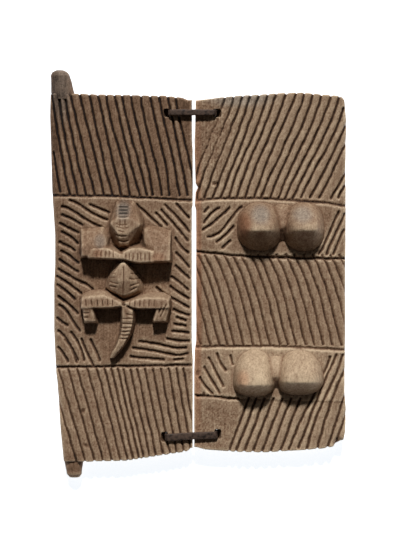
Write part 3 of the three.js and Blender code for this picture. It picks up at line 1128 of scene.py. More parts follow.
@dataclass(frozen=True)
class Staple:
    """A forged bar across the gap, with two legs through the planks, clinched at the back."""

    node: str
    centre: Point
    turn: float
    span: float
    width: float
    thickness: float
    bow: float
    hole_reach: float
    kink: float
    seed: int

    GAP = 0.6
    CLINCH = 17.0
    CORNER = 2.5
    HOLE_SLACK = 0.8
    SIDE_SLACK = 1.4
    SQUARENESS = 0.45  # power that squares the section off; 1 would leave it an ellipse
    SIDES = 40
    STEP = 0.8

    def route(self) -> np.ndarray:
        """The bar's middle line in its own upright plane, with round corners.

        It runs in along the back, up one leg, across with a slight bow and down to the back
        again. Each corner is an arc of the radius CORNER between its two straight lines.

        Returns:
            Points as (across the door, height) rows, evenly spaced.
        """
        half = self.span / 2
        low = self.GAP + self.thickness / 2
        high = FACE + self.GAP + self.thickness / 2
        corners = np.array([
            (-half + self.CLINCH, low), (-half, low), (-half, high), (half, high), (half, low),
            (half - self.CLINCH, low),
        ])
        line = [corners[:1]]
        for before, corner, after in zip(corners, corners[1:], corners[2:]):
            towards = (before - corner) / np.hypot(*(before - corner))
            away = (after - corner) / np.hypot(*(after - corner))
            middle = corner + self.CORNER * (towards + away)
            turn = np.linspace(0.0, math.pi / 2, 9)[:, None]
            line.append(middle - self.CORNER * (np.cos(turn) * away + np.sin(turn) * towards))
        line.append(corners[-1:])
        points = np.concatenate(line)
        sweep = np.concatenate([[0.0], np.cumsum(np.hypot(*np.diff(points, axis=0).T))])
        even = np.linspace(0.0, sweep[-1], int(sweep[-1] / self.STEP))
        route = np.stack([np.interp(even, sweep, column) for column in points.T], axis=1)
        arch = np.clip(1.0 - (route[:, 0] / half) ** 2, 0.0, None)
        route[:, 1] += np.where(route[:, 1] > FACE, self.bow * arch, 0.0)
        return route

    def build(self) -> bpy.types.Object:
        """Carries a squared-off ellipse along the route, hammered uneven and tapered at its ends.

        The section is (width / 2 * sgn(cos) |cos|^n, thickness / 2 * sgn(sin) |sin|^n), its
        width lies along the door, and noise of 6 mm and 2 mm dents it inwards.

        Returns:
            The staple as a closed mesh.
        """
        route = self.route()
        tangent = np.gradient(route, axis=0)
        tangent /= np.hypot(*tangent.T)[:, None]
        normal = np.stack([-tangent[:, 1], tangent[:, 0]], axis=1)
        angle = np.linspace(0.0, 2 * math.pi, self.SIDES, endpoint=False)
        across = np.sign(np.cos(angle)) * np.abs(np.cos(angle)) ** self.SQUARENESS
        through = np.sign(np.sin(angle)) * np.abs(np.sin(angle)) ** self.SQUARENESS
        share = np.linspace(0.0, 1.0, len(route))
        ends = smooth_step(0.0, 0.06, share) * smooth_step(1.0, 0.94, share)
        taper = (0.62 + 0.38 * ends)[:, None]
        x = route[:, :1] + normal[:, :1] * through * self.thickness / 2 * taper
        z = route[:, 1:] + normal[:, 1:] * through * self.thickness / 2 * taper
        y = across * self.width / 2 * taper
        rings = np.stack([x, y, z], axis=-1)
        flat = rings.reshape(-1, 3)
        centre = np.repeat(
            np.column_stack([route[:, 0], np.zeros(len(route)), route[:, 1]]), self.SIDES, axis=0
        )
        dents = np.clip(0.5 + 0.5 * layered_noise(flat, (7.0, 5.0, 5.0), 3, self.seed), 0.0, 1.0)
        flat = flat + (centre - flat) * (0.16 * dents)[:, None]
        flat[:, 1] += self.kink * np.abs(flat[:, 0]) / self.span
        cosine, sine = math.cos(self.turn), math.sin(self.turn)
        placed = np.stack([
            self.centre[0] + cosine * flat[:, 0] - sine * flat[:, 1],
            self.centre[1] + sine * flat[:, 0] + cosine * flat[:, 1],
            flat[:, 2],
        ], axis=1)
        return add_mesh(self.node, *closed_tube(placed.reshape(rings.shape)))

    def hole(self, side: int) -> StapleHole:
        """The hole for one leg, as wide as the CAD's.

        Args:
            side: -1 for the left plank's, +1 for the right plank's.

        Returns:
            The hole's sizes.
        """
        half = self.span / 2
        inner = half - self.thickness / 2 - self.HOLE_SLACK
        outer = half + self.hole_reach
        channel = half - self.CLINCH - self.HOLE_SLACK
        cosine, sine = math.cos(self.turn), math.sin(self.turn)
        width = self.width + 2 * self.SIDE_SLACK
        middle = side * (inner + outer) / 2
        back = side * (channel + outer) / 2
        return StapleHole(
            middle=(self.centre[0] + cosine * middle, self.centre[1] + sine * middle),
            size=(outer - inner, width),
            channel_middle=(self.centre[0] + cosine * back, self.centre[1] + sine * back),
            channel_size=(outer - channel, width + 1.0),
            channel_depth=2 * self.GAP + self.thickness,
            outward=side,
            narrowing=0.8 * self.hole_reach / (outer - inner),
            seed=self.seed + side,
        )


TOP_STAPLE = Staple("top_staple", centre=(-7.9, 225.4), turn=0.0, span=63.8, width=9.0,
                    thickness=5.0, bow=1.6, hole_reach=9.0, kink=0.0, seed=71)
BOTTOM_STAPLE = Staple("bottom_staple", centre=(-9.7, -226.7), turn=0.052, span=70.6, width=11.0,
                       thickness=4.0, bow=0.8, hole_reach=7.0, kink=-1.2, seed=75)


@dataclass
class LeftPlank:
    """The plank with both pivot posts and the figure in high relief."""

    west: Edge = field(default_factory=lambda: Edge((
        (-189, -263), (-190.5, -247), (-193.3, -219), (-196, -177), (-197.5, -156), (-199.6, -138),
        (-201, -107), (-202.4, -79), (-202.4, -16), (-201, 16), (-201, 54), (-205.2, 117),
        (-207.3, 194), (-208.2, 222), (-207.5, 253)), rounding=8.0))
    north: Edge = field(default_factory=lambda: Edge((
        (-207.5, 253), (-165, 252.6), (-137, 251.6), (-67, 250.5), (-46, 249.8), (-22.5, 247),
        (-14, 243.7), (-8.2, 243.9)), rounding=2.0))
    east: Edge = field(default_factory=lambda: Edge((
        (-7.3, -244), (-7.1, -121), (-8.5, -93), (-8.5, 92), (-7.1, 96), (-7.1, 173),
        (-8.2, 187), (-8.2, 243.9)), rounding=2.0))
    south: Edge = field(default_factory=lambda: Edge((
        (-189, -263), (-160, -263.8), (-97, -262), (-95, -261.5), (-17, -249.5),
        (-7.3, -244)), rounding=2.0))
    top_line: Path = ((-212, 110), (-186, 110), (-6, 102.4))
    foot_line: Path = ((-207, -130.5), (-110, -129), (-6, -127.6))
    posts: tuple[PivotPost, ...] = (
        PivotPost(base=(-190.4, 253), direction=1, lean=-4.6, seed=31, profile=(
            (16.8, -8), (16.8, 0), (14.7, 19.6), (13.7, 26.6), (11.2, 30.8), (6, 33.6))),
        PivotPost(base=(-175.2, -262), direction=-1, lean=1.0, seed=35, profile=(
            (13.8, -8), (13.8, 0), (12.8, 8), (11.3, 15), (11, 20), (7, 24.6))),
    )

    def top_grooves(self) -> list[Stroke]:
        """The slanting grooves above the figure's panel."""
        return GrooveField(
            levels=(255, 201, 173, 108),
            crossings=(
                (-206, -196, -188, -180, -167, -154, -142, -129, -118, -107.5, -95.5, -81.5,
                 -68.5, -57, -44.5, -33.5),
                (-197.5, -188.5, -178.5, -167.5, -154, -142, -129.5, -119, -106.5, -96.5, -84,
                 -71.5, -57, -45, -33, -22.5),
                (-192.5, -183, -172.5, -160.5, -147, -136, -123.5, -111, -99.5, -88.5, -76.5,
                 -64.5, -50.5, -38.5, -27.5, -16),
                (-180, -168, -156, -144, -132, -119.5, -107, -95.5, -82, -72, -64, -51, -40,
                 -26, -14, -4.5),
            ),
            shape=TOP_DEEP, fade_in=0.5, fade_out=2.0,
        ).strokes() + strokes_of(TOP_DEEP, ((-203, 173), (-193, 112)))

    def foot_grooves(self) -> list[Stroke]:
        """The slanting grooves below the figure's panel."""
        return GrooveField(
            levels=(-131, -191, -268),
            crossings=(
                (-209.5, -196.5, -183, -170, -156, -142.5, -131.5, -122.5, -113.5, -105.5, -96,
                 -86, -75, -64, -53, -42, -31, -21.5),
                (-192, -179.5, -166, -153.5, -140, -127, -116.5, -108, -99.5, -92, -82.5, -73,
                 -62.5, -52, -41.5, -31, -20.5, -11.5),
                (-169, -157, -144, -132, -119.5, -106.5, -97, -89, -81, -74, -65.5, -56, -46,
                 -36.5, -26.5, -16.5, -6.5, 2),
            ),
            shape=FOOT_GROOVE, fade_in=2.0, fade_out=0.5,
        ).strokes()

    def gouges(self) -> list[Stroke]:
        """Single cuts round the figure, from the upper left, the lower left and the right."""
        return strokes_of(
            GOUGE,
            ((-154, 99), (-122, 85)),
            ((-182, 104.5), (-162.5, 95), (-143, 83), (-124.5, 75)),
            ((-193.5, 95.5), (-178, 90.5), (-161, 79.5), (-131.5, 65)),
            ((-193.5, 84.5), (-176.5, 77.5), (-159.5, 67)),
            ((-196, 72.5), (-179.5, 64), (-165.5, 56.5)),
            ((-193.5, 60), (-175, 49.5), (-166.5, 41.5)),
            ((-196, 47), (-179.5, 37.5), (-169.5, 32)),
            ((-194.5, 34), (-176.5, 23), (-165.5, 14.5)),
            ((-196, 23), (-178, 9.5), (-165.5, 2.5)),
            ((-197.5, 9.5), (-183.5, -0.5), (-165.5, -10), (-144.5, -23)),
            ((-200.5, -1), (-179.5, -15), (-161, -28.5)),
            ((-199, -13.5), (-179.5, -28.5), (-169.5, -37.5)),
            ((-197.5, -29), (-179.5, -44), (-165.5, -57)),
            ((-196, -41.5), (-180.5, -56.5), (-169.5, -74.5), (-164, -81.5)),
            ((-199, -59), (-185, -70.5), (-180.5, -73)),
            ((-197.5, -77.5), (-182, -94), (-171, -118), (-168, -126.5)),
            ((-179.5, -79), (-169.5, -93), (-158.5, -123.5)),
            ((-164, -88.5), (-154, -112.5), (-144.5, -130.5)),
            ((-151.5, -90), (-140, -113.5), (-136, -123.5)),
            ((-197.5, -100), (-185, -116.5), (-179.5, -125)),
            ((-187.5, -88.5), (-173.5, -109.5), (-166.5, -123.5)),
            ((-87, 100.5), (-71.5, 84.5), (-49, 64)),
            ((-61.5, 88), (-40.5, 66)),
            ((-53.5, 92), (-31, 67.5), (-12.5, 45)),
            ((-47.5, 99), (-22.5, 72.5), (-10, 57)),
            ((-32.5, 100.5), (-10, 76.5)),
            ((-32.5, 54), (-19.5, 34.5), (-11.5, 27.5)),
            ((-32.5, 32), (-10, 8)),
            ((-33.5, 13.5), (-10, -7.5)),
            ((-39.5, -2), (-21, -15), (-11.5, -24)),
            ((-40.5, -15.5), (-21, -29.5), (-10, -35.5)),
            ((-60.5, -17), (-33.5, -35.5), (-10, -48)),
            ((-36.5, -48), (-19.5, -55.5), (-10, -57.5)),
            ((-32.5, -60), (-14, -65.5)),
            ((-36.5, -69.5), (-14, -72.5)),
            ((-39.5, -79.5), (-10, -83)),
            ((-46.5, -89), (-24, -93.5), (-10, -94)),
            ((-85.5, -93.5), (-63, -97), (-39.5, -102), (-14, -103)),
            ((-94, -103), (-67.5, -107), (-39.5, -112.5), (-11.5, -111.5)),
            ((-98, -115), (-67.5, -118.5), (-45, -120.5)),
            ((-36.5, -120.5), (-18.5, -118.5)),
        )

    def relief(self) -> Relief:
        """Everything cut into this plank's face.

        Returns:
            The strokes, dents and steps.
        """
        lines = strokes_of(LINE_CUT, self.top_line, self.foot_line)
        return Relief(
            strokes=self.top_grooves() + self.foot_grooves() + self.gouges() + lines,
            dents=(
                Dent((-161.5, -191.7), (4.5, 6), 1.6),
                Dent((-156.5, -239.5), (6, 4.5), 1.0),
                Dent((-201.5, -151), (6, 6), 3.0),
            ),
            steps=Levels((self.top_line, self.foot_line), (1.0, 0.0, 0.6)),
            seed=101,
        )

    def figure(self) -> "Figure":
        """The figure on this plank."""
        return Figure()

    def build(self, wood: bpy.types.Material) -> bpy.types.Object:
        """Carves the plank, joins its posts and figure, and cuts its staple holes.

        Args:
            wood: The finish.

        Returns:
            The dressed plank.
        """
        relief = self.relief()
        plank = PlankBody(
            "left_plank", self.south, self.north, self.west, self.east, columns=184, rows=332,
            column_pitches=((0, 0.75), (6, 0.8), (12, 1.15), (178, 1.15), (184, 0.8), (190, 0.75)),
            row_pitches=((0, 0.8), (5, 0.9), (12, 1.9), (125, 1.9), (140, 1.3), (372, 1.3),
                         (380, 1.9), (505, 1.9), (511, 0.9), (516, 0.8)),
            relief=relief, seed=105,
        ).build()
        figure = self.figure()
        carving = figure.carving()
        body = carving.melt(figure.blocks())
        carving.tool(body)
        combine(plank, [body, *(post.build() for post in self.posts)], Boolean.JOIN)
        cutters = TOP_STAPLE.hole(-1).cutters() + BOTTOM_STAPLE.hole(-1).cutters()
        combine(plank, cutters, Boolean.CUT)
        Weathering(
            tones=Levels((self.top_line, self.foot_line), (0.32, 0.48, 0.51)),
            tone_and_shade_patches=(
                Patch((-192, 255), (16, 60), -0.1),
                # painted shade down the rounded left edge, which faces away from the light
                Patch((-203, 200), (9, 120), -0.14),
                Patch((-182, 20), (30, 90), -0.1),
                Patch((-175, -272), (16, 22), -0.14),
                Patch((-104, 63), (12, 14), 0.12),
                Patch((-104, 88), (14, 16), -0.16),
                Patch((-80, 26), (40, 9), 0.12),
                Patch((-125, 28), (18, 8), 0.06),
                Patch((-160, 28), (9, 9), -0.1),
                Patch((-150, 55), (16, 12), 0.03),
                Patch((-140, -30), (24, 7), 0.12),
                Patch((-65, -30), (28, 8), 0.14),
                Patch((-103, 5), (20, 18), 0.06),
            ),
            grey=(Patch((-104, 88), (10, 14), 0.7), Patch((-192, 262), (14, 50), 0.5),
                  Patch((-136, 45), (8, 10), 0.5)),
            ruddy=(Patch((-55, 22), (10, 8), 0.3), Patch((-138, 28), (7, 6), 0.3)),
        ).apply(plank, relief, [carving])
        dress(plank, wood, "left_plank", WOOD_SLOT)
        return plank


@dataclass(frozen=True)
class Figure:
    """The crocodile-like figure: a roof-shaped head, bent arms and legs, and a tail."""

    origin: Point = (-103.7, -8.75)
    head: HewnBlock = HewnBlock(
        foot=((-10, 111), (14, 111), (21, 100), (26, 90), (29, 80), (28, 72), (25, 62), (20, 52),
              (8, 45), (-6, 45), (-14, 52), (-18, 60), (-21, 70), (-21, 80), (-18, 92),
              (-14, 102)),
        crest=((-9, 106, 8), (12, 106, 8), (-17, 78, 24), (24, 77, 25), (-8, 86, 27),
               (8, 86, 27), (-7, 64, 29), (6, 64, 29), (-4, 48, 19), (6, 48, 19)))
    torso: HewnBlock = HewnBlock(
        foot=((0, 27), (-12, 22), (-19, 13), (-24, 2), (-28, -12), (-12, -24), (0, -29),
              (12, -26), (29, -17), (28, -6), (24, 5), (16, 15), (8, 22)),
        crest=((-2, 24, 25), (3, 24, 25), (-13, 10, 22), (12, 10, 22), (-7, 0, 27), (7, 0, 27),
               (-19, -6, 17), (21, -6, 18), (-17, -14, 17), (19, -15, 17), (-4, -21, 21),
               (5, -21, 21)))
    arms: tuple[HewnBlock, ...] = (
        HewnBlock(
            foot=((-61, 72), (-28, 75), (-20, 64), (-20, 34), (-61, 30)),
            crest=((-57, 67, 9), (-30, 69, 8), (-25, 58, 13), (-24, 46, 19), (-57, 45, 26),
                   (-57, 33, 28), (-40, 34, 28))),
        HewnBlock(
            foot=((-50, 50), (-30, 51), (-18, 50), (-8, 44), (0, 38), (0, 27), (-12, 28),
                  (-50, 29)),
            crest=((-44, 43, 27), (-30, 44, 27), (-20, 43, 28), (-8, 38, 29), (0, 34, 29),
                   (0, 29, 29), (-14, 30, 30), (-48, 31, 29))),
        HewnBlock(
            foot=((25, 77), (45, 76), (67, 70), (68, 24), (40, 23), (26, 44)),
            crest=((30, 70, 9), (48, 68, 12), (64, 65, 11), (65, 50, 24), (65, 26, 30),
                   (44, 26, 31), (44, 45, 27), (30, 52, 17))),
        HewnBlock(
            foot=((-2, 42), (10, 49), (22, 51), (44, 46), (44, 23), (20, 22), (8, 24), (-2, 27)),
            crest=((0, 38, 29), (10, 43, 29), (22, 44, 29), (42, 40, 31), (42, 25, 31),
                   (22, 24, 31), (10, 27, 31), (0, 29, 30))),
    )
    legs: tuple[HewnBlock, ...] = (
        HewnBlock(
            foot=((-62, -28), (-58, -19), (-48, -14), (-28, -12), (-10, -19), (0, -26),
                  (2, -37), (-8, -41), (-61, -41)),
            crest=((-57, -26, 20), (-47, -23, 21), (-28, -21, 21), (-12, -27, 22),
                   (-2, -32, 23), (-2, -36, 23), (-20, -38, 24), (-58, -39, 23))),
        HewnBlock(
            foot=((0, -26), (12, -23), (28, -17), (56, -17), (66, -22), (67, -41), (18, -42),
                  (2, -37)),
            crest=((2, -32, 23), (14, -28, 22), (30, -25, 22), (57, -25, 21), (63, -28, 22),
                   (64, -39, 23), (20, -39, 24), (4, -35, 23))),
        HewnBlock(
            foot=((-59, -36), (-41, -36), (-35, -61), (-56, -61)),
            crest=((-56, -38, 21), (-43, -38, 21), (-39, -58, 19), (-54, -58, 19))),
        HewnBlock(
            foot=((43, -36), (66, -36), (62, -60), (39, -60)),
            crest=((47, -38, 21), (64, -38, 20), (59, -57, 18), (42, -57, 21))),
    )
    tail: tuple[tuple[float, float, float, float], ...] = (
        (6, -36, 12, 22), (6, -55, 11.5, 22), (5, -65, 10.5, 21), (2.5, -75, 9.5, 20),
        (-0.5, -82, 8.5, 19), (-5, -91, 7.5, 18), (-11, -100, 6.5, 16), (-16.5, -109, 3.5, 12),
    )  # x, y, half width, height

    TAIL_RIDGE = 0.6  # share of the tail's width that its top keeps

    def tail_blocks(self) -> list[HewnBlock]:
        """One block between each two places along the tail."""
        blocks = []
        for (x0, y0, w0, h0), (x1, y1, w1, h1) in zip(self.tail, self.tail[1:]):
            r0, r1 = w0 * self.TAIL_RIDGE, w1 * self.TAIL_RIDGE
            blocks.append(HewnBlock(
                foot=((x0 - w0, y0), (x0 + w0, y0), (x1 + w1, y1), (x1 - w1, y1)),
                crest=((x0 - r0, y0, h0), (x0 + r0, y0, h0), (x1 + r1, y1, h1), (x1 - r1, y1, h1)),
            ))
        return blocks

    def blocks(self) -> list[bpy.types.Object]:
        """Every block of the figure as a closed mesh."""
        blocks = (self.head, self.torso, *self.arms, *self.legs, *self.tail_blocks())
        return [block.build(self.origin) for block in blocks]

    def carving(self) -> RaisedCarving:
        """How the figure's surface is worn and tooled."""
        ox, oy = self.origin

        def moved(*points: Point) -> Path:
            """The same points on the door."""
            return tuple((ox + x, oy + y) for x, y in points)

        cuts = (
            *(moved((-8, y), (8, y - 0.5)) for y in (102, 97.5, 93, 88)),
            moved((-13, 66), (-3, 61), (7, 61.5)),
            moved((-9, 57), (0, 53.5), (9, 56)),
            moved((-10, 52), (0, 47.5), (8, 48.5)),
            moved((-21, -1), (-5, -5)),
            moved((-22, -7), (-7, -10)),
            moved((8, 10), (21, 9)),
            moved((7, 4), (14, 2), (24, 5)),
            moved((8, -9), (24, -3)),
            moved((8, -15), (21, -9)),
            moved((10, -20), (24, -15)),
            moved((2, -46), (16, -49)),
            *(moved((x - w, y), (x + w, y - 0.5)) for x, y, w in (
                (6, -53, 10), (5, -60, 10), (4, -66, 10), (3, -71, 9), (2, -76, 9), (0, -81, 8))),
            moved((60, -32), (50, -53)),
            moved((54, -35), (48, -47)),
            moved((-58, -45), (-46, -45.5)),
            moved((-57, -51), (-47, -51.5)),
        )
        scratches = (
            moved((-12, 80), (-4, 76), (8, 78)),
            moved((-11, 75), (0, 71.5), (9, 73)),
            moved((-9, 69), (4, 66)),
            moved((-4, 86), (-5, 70)),
            moved((3, 86), (3, 68)),
            *(moved((x, 42), (x - 0.5, 29)) for x in (-36, -30, -24, -19, -13)),
            *(moved((x, 39), (x, 25)) for x in (4, 9, 14, 20, 25, 31, 37)),
            *(moved((x, -25), (x + 1, -38)) for x in (-52, -44, -36, -29, -22, -15)),
            *(moved((x, -25), (x - 1, -39)) for x in (10, 17, 24, 30, 37, 44)),
            moved((-18, 15), (-7, 17)),
            moved((-20, 9), (-8, 10)),
            moved((-22, 4), (-8, 4)),
            moved((1, 21), (0, -24)),
        )
        deep = (
            moved((-27, -11), (-17, -17), (0, -27)),
            moved((4, -35), (11, -39), (19, -44)),
        )
        strokes = strokes_of(KNIFE_CUT, *cuts) + strokes_of(SCRATCH, *scratches)
        strokes += strokes_of(DEEP_CUT, *deep)
        return RaisedCarving(strokes=strokes, seed=201)


@dataclass
class RightPlank:
    """The plank with two pairs of bosses."""

    west: Edge = field(default_factory=lambda: Edge((
        (-5.7, -242.5), (-5.7, -137.5), (-5, -107), (-2.9, -93), (-2.9, 89), (-5, 96),
        (-3.6, 114.4), (-0.1, 121.4), (-3.6, 127), (-5.2, 173), (-3.6, 243.2)), rounding=2.0))
    north: Edge = field(default_factory=lambda: Edge((
        (-3.6, 243.2), (11, 244.6), (31, 247.4), (59, 250.2), (87, 251.6), (115, 253.6),
        (145.5, 254.2), (192, 250.2), (200, 249.8), (205.7, 243)), rounding=2.0))
    east: Edge = field(default_factory=lambda: Edge((
        (204.3, -233.4), (206.7, -221.5), (207.7, -191), (205.7, -160), (206.8, -79),
        (206.7, -16), (207.6, 117), (206.9, 145), (208.2, 204), (208.2, 215),
        (205.7, 243)), rounding=4.5))
    south: Edge = field(default_factory=lambda: Edge((
        (-5.7, -242.5), (10, -246.4), (58, -250.3), (60, -250.5), (98, -250.5), (100, -250.4),
        (171, -245.6), (189, -242.5), (200, -234.8), (204.3, -233.4)), rounding=2.0))
    top_line: Path = ((-6, 103.2), (143, 103.2), (212, 94.6))
    rib_line: Path = ((-6, 33), (9, 31), (59, 26), (212, 22))
    boss_line: Path = ((-6, -102.5), (143, -102.5), (212, -107))
    foot_line: Path = ((-6, -169), (7, -170.5), (34, -172.5), (60, -175.4), (212, -180))
    upper_bosses: tuple[Boss, ...] = (
        Boss(tip=(87, 61), up=40, down=29, left=33, right=31, rise=38.5, rim=8),
        Boss(tip=(150, 61.5), up=39, down=30, left=32, right=27, rise=38.5, rim=8),
        Boss(tip=(119, 66), up=32, down=20, left=22, right=22, rise=15, rim=6),
    )
    lower_bosses: tuple[Boss, ...] = (
        Boss(tip=(79.5, -153), up=48, down=20, left=31, right=29, rise=33, rim=11,
             squareness=0.92),
        Boss(tip=(140, -149), up=43, down=22, left=31, right=36, rise=33, rim=12,
             squareness=0.92),
        Boss(tip=(109, -142), up=28, down=18, left=20, right=20, rise=14, rim=6),
    )

    def top_grooves(self) -> list[Stroke]:
        """The slanting grooves above the upper bosses."""
        field_of_grooves = GrooveField(
            levels=(256, 215, 173, 104),
            crossings=(
                (40.5, 52, 65, 76, 87.5, 100, 110.5, 124, 139, 150.5, 163, 175, 189, 201),
                (26.5, 39, 50.5, 62, 73.5, 86, 97, 110, 122.5, 136.5, 149, 161.5, 174, 187),
                (9.5, 21, 33.5, 46, 57.5, 68, 79, 91, 104, 118, 130, 142.5, 154.5, 167),
                (-10, -1.5, 8.5, 20, 31, 42.5, 54.5, 66, 78, 87.5, 100, 112, 121.5, 132),
            ),
            shape=TOP_DEEP_RISING, fade_in=0.5, fade_out=2.0,
        )
        return field_of_grooves.strokes() + strokes_of(
            TOP_DEEP_RISING,
            ((205, 235), (198.5, 215), (179, 173), (143, 104)),
            ((210, 215), (191.5, 173), (155.5, 104)),
            ((214, 198), (203, 173), (168.5, 104)),
            ((212, 152), (207, 141), (184.5, 103)),
            ((210, 130), (195.5, 104)),
        )

    def ribs(self) -> list[Stroke]:
        """The softer grooves between the two pairs of bosses: all the same curve."""
        crossings = (-9, 4, 16.5, 28, 37.5, 51, 64.5, 76, 87.5, 101.5, 112.5, 125, 138, 150.5,
                     163, 175.5, 188, 201, 213, 225.5)
        bend = ((28, -29), (-16, -10), (-51, 0), (-101, 12.7))
        return [
            Stroke(tuple((x + shift, y) for y, shift in bend), SOFT_RIB, 1.5, 1.5)
            for x in crossings
        ]

    def foot_grooves(self) -> list[Stroke]:
        """The slanting grooves below the lower bosses."""
        slope = 0.38
        level = -212
        return [
            Stroke(tuple((x + slope * (y - level), y) for y in (-172, -256)), FOOT_RISING, 3.0, 0.5)
            for x in (57.5, 68, 79.5, 91.5, 104, 116, 129.5)
        ] + strokes_of(
            FOOT_RISING,
            ((186, -113.5), (177.5, -137.5), (162.5, -170), (126.5, -250)),
            ((196, -111), (184.5, -135), (168, -174), (140.5, -247)),
            ((204.5, -111), (197.5, -130.5), (179, -172.5), (152, -249)),
            ((207, -131), (194.5, -160), (166.5, -250)),
            ((209, -160), (180.5, -248)),
            ((210, -190), (191.5, -244)),
        )

    def gouges(self) -> list[Stroke]:
        """Single cuts beside the bosses."""
        return strokes_of(
            GOUGE,
            ((16.5, 95), (7, 85)),
            ((32, 93.5), (12.5, 78), (7, 69.5)),
            ((46, 95), (23.5, 74), (4, 60)),
            ((63, 96), (43.5, 74), (21, 53), (11, 51.5)),
            ((51.5, 69.5), (37.5, 54), (23.5, 43)),
            ((47.5, 48.5), (32, 34.5)),
            ((197.5, 90.5), (190.5, 74), (183.5, 57), (168, 25)),
            ((205.5, 86.5), (200, 72.5), (191.5, 54), (177.5, 25)),
            ((205.5, 64), (198.5, 50), (187.5, 25)),
            ((175, 53), (169.5, 41.5)),
            ((44.5, -111), (49, -129)),
            ((26.5, -109.5), (32, -123.5), (40.5, -137.5)),
            ((14, -115), (22.5, -130.5), (36.5, -160)),
            ((7, -127.5), (16.5, -143), (32, -171)),
            ((1.5, -142), (9.5, -154.5), (22.5, -171)),
        )

    def relief(self) -> Relief:
        """Everything cut into this plank's face.

        Returns:
            The strokes, dents and steps.
        """
        lines = strokes_of(LINE_CUT, self.top_line, self.rib_line, self.boss_line)
        lines += strokes_of(LINE_CUT, self.foot_line[:4])
        return Relief(
            strokes=self.top_grooves() + self.ribs() + self.foot_grooves() + self.gouges() + lines,
            dents=(
                Dent((23, 127), (6.5, 4.5), 2.5),
                Dent((-2, 121), (7, 9), 3.5),
                Dent((8, -168.5), (4, 5), 2.5),
                Dent((44.5, -174), (4, 4), 2.5),
                Dent((0, -139), (5, 7), 1.5),
                Dent((198, -237), (12, 9), 4.0),
            ),
            steps=Levels((self.top_line, self.rib_line, self.boss_line, self.foot_line),
                         (1.5, 0.3, 1.5, 0.0, 1.2)),
            worn=(Patch((18, 200), (28, 60), 0.75), Patch((18, -215), (32, 45), 0.7)),
            rough=(Patch((18, 195), (34, 70), 0.8), Patch((20, -215), (32, 45), 0.5)),
            seed=151,
        )

    def build(self, wood: bpy.types.Material) -> bpy.types.Object:
        """Carves the plank, joins its bosses and cuts its staple holes.

        Args:
            wood: The finish.

        Returns:
            The dressed plank.
        """
        relief = self.relief()
        plank = PlankBody(
            "right_plank", self.south, self.north, self.west, self.east, columns=204, rows=328,
            column_pitches=((0, 0.75), (6, 0.8), (12, 1.15), (198, 1.15), (204, 0.8), (210, 0.75)),
            row_pitches=((0, 0.8), (5, 0.9), (12, 1.7), (475, 1.7), (481, 0.9), (486, 0.8)),
            relief=relief, seed=155,
        ).build()
        carvings = []
        for number, pair in enumerate((self.upper_bosses, self.lower_bosses)):
            carving = RaisedCarving(seed=221 + number)
            body = carving.melt([boss.build() for boss in pair])
            carving.tool(body)
            combine(plank, [body], Boolean.JOIN)
            carvings.append(carving)
        cutters = TOP_STAPLE.hole(1).cutters() + BOTTOM_STAPLE.hole(1).cutters()
        combine(plank, cutters, Boolean.CUT)
        Weathering(
            tones=Levels((self.top_line, self.rib_line, self.boss_line, self.foot_line),
                         (0.51, 0.53, 0.53, 0.6, 0.57)),
            tone_and_shade_patches=(
                Patch((86, 62), (9, 5), 0.16), Patch((151, 64), (7, 5), 0.16),
                Patch((80, -130), (33, 34), 0.16), Patch((141, -127), (36, 32), 0.12),
                Patch((82, -147), (7, 10), 0.12), Patch((145, -148), (7, 5), 0.12),
                # the first patch, at (63, 66), is painted shade on the upper left boss's left side
                Patch((63, 66), (10, 20), -0.06), Patch((86, 84), (14, 14), -0.03),
                Patch((60, 250), (40, 8), -0.08),
            ),
            # painted sheen: grey on the upper bosses' upper slopes and along the top band
            grey=(Patch((87, 82), (13, 14), 0.7), Patch((145, 82), (14, 12), 0.6),
                  Patch((60, 246), (46, 12), 0.6)),
            ruddy=(Patch((64, 68), (9, 18), 0.5), Patch((-1, 0), (6, 250), 0.5),
                   Patch((62, -146), (9, 12), 0.3)),
        ).apply(plank, relief, carvings)
        dress(plank, wood, "right_plank", WOOD_SLOT)
        return plank


def linear(colour: str) -> tuple[float, float, float, float]:
    """An sRGB hex value, such as "#6b4f39", as the linear colour that nodes take."""
    parts = [int(colour[k:k + 2], 16) / 255 for k in (1, 3, 5)]
    return (*(part / 12.92 if part < 0.04045 else ((part + 0.055) / 1.055) ** 2.4
              for part in parts), 1.0)


def add_node(tree: bpy.types.NodeTree, kind: str, settings: dict | None = None,
             inputs: dict | None = None) -> bpy.types.Node:
    """Adds a node to a material.

    Args:
        tree: The material's nodes.
        kind: The node's type.
        settings: Its properties, by name.
        inputs: A constant, or the output that is linked in, by socket name or number.

    Returns:
        The node.
    """
    node = tree.nodes.new(kind)
    for name, value in (settings or {}).items():
        setattr(node, name, value)
    for name, value in (inputs or {}).items():
        if isinstance(value, bpy.types.NodeSocket):
            tree.links.new(value, node.inputs[name])
        else:
            node.inputs[name].default_value = value
    return node


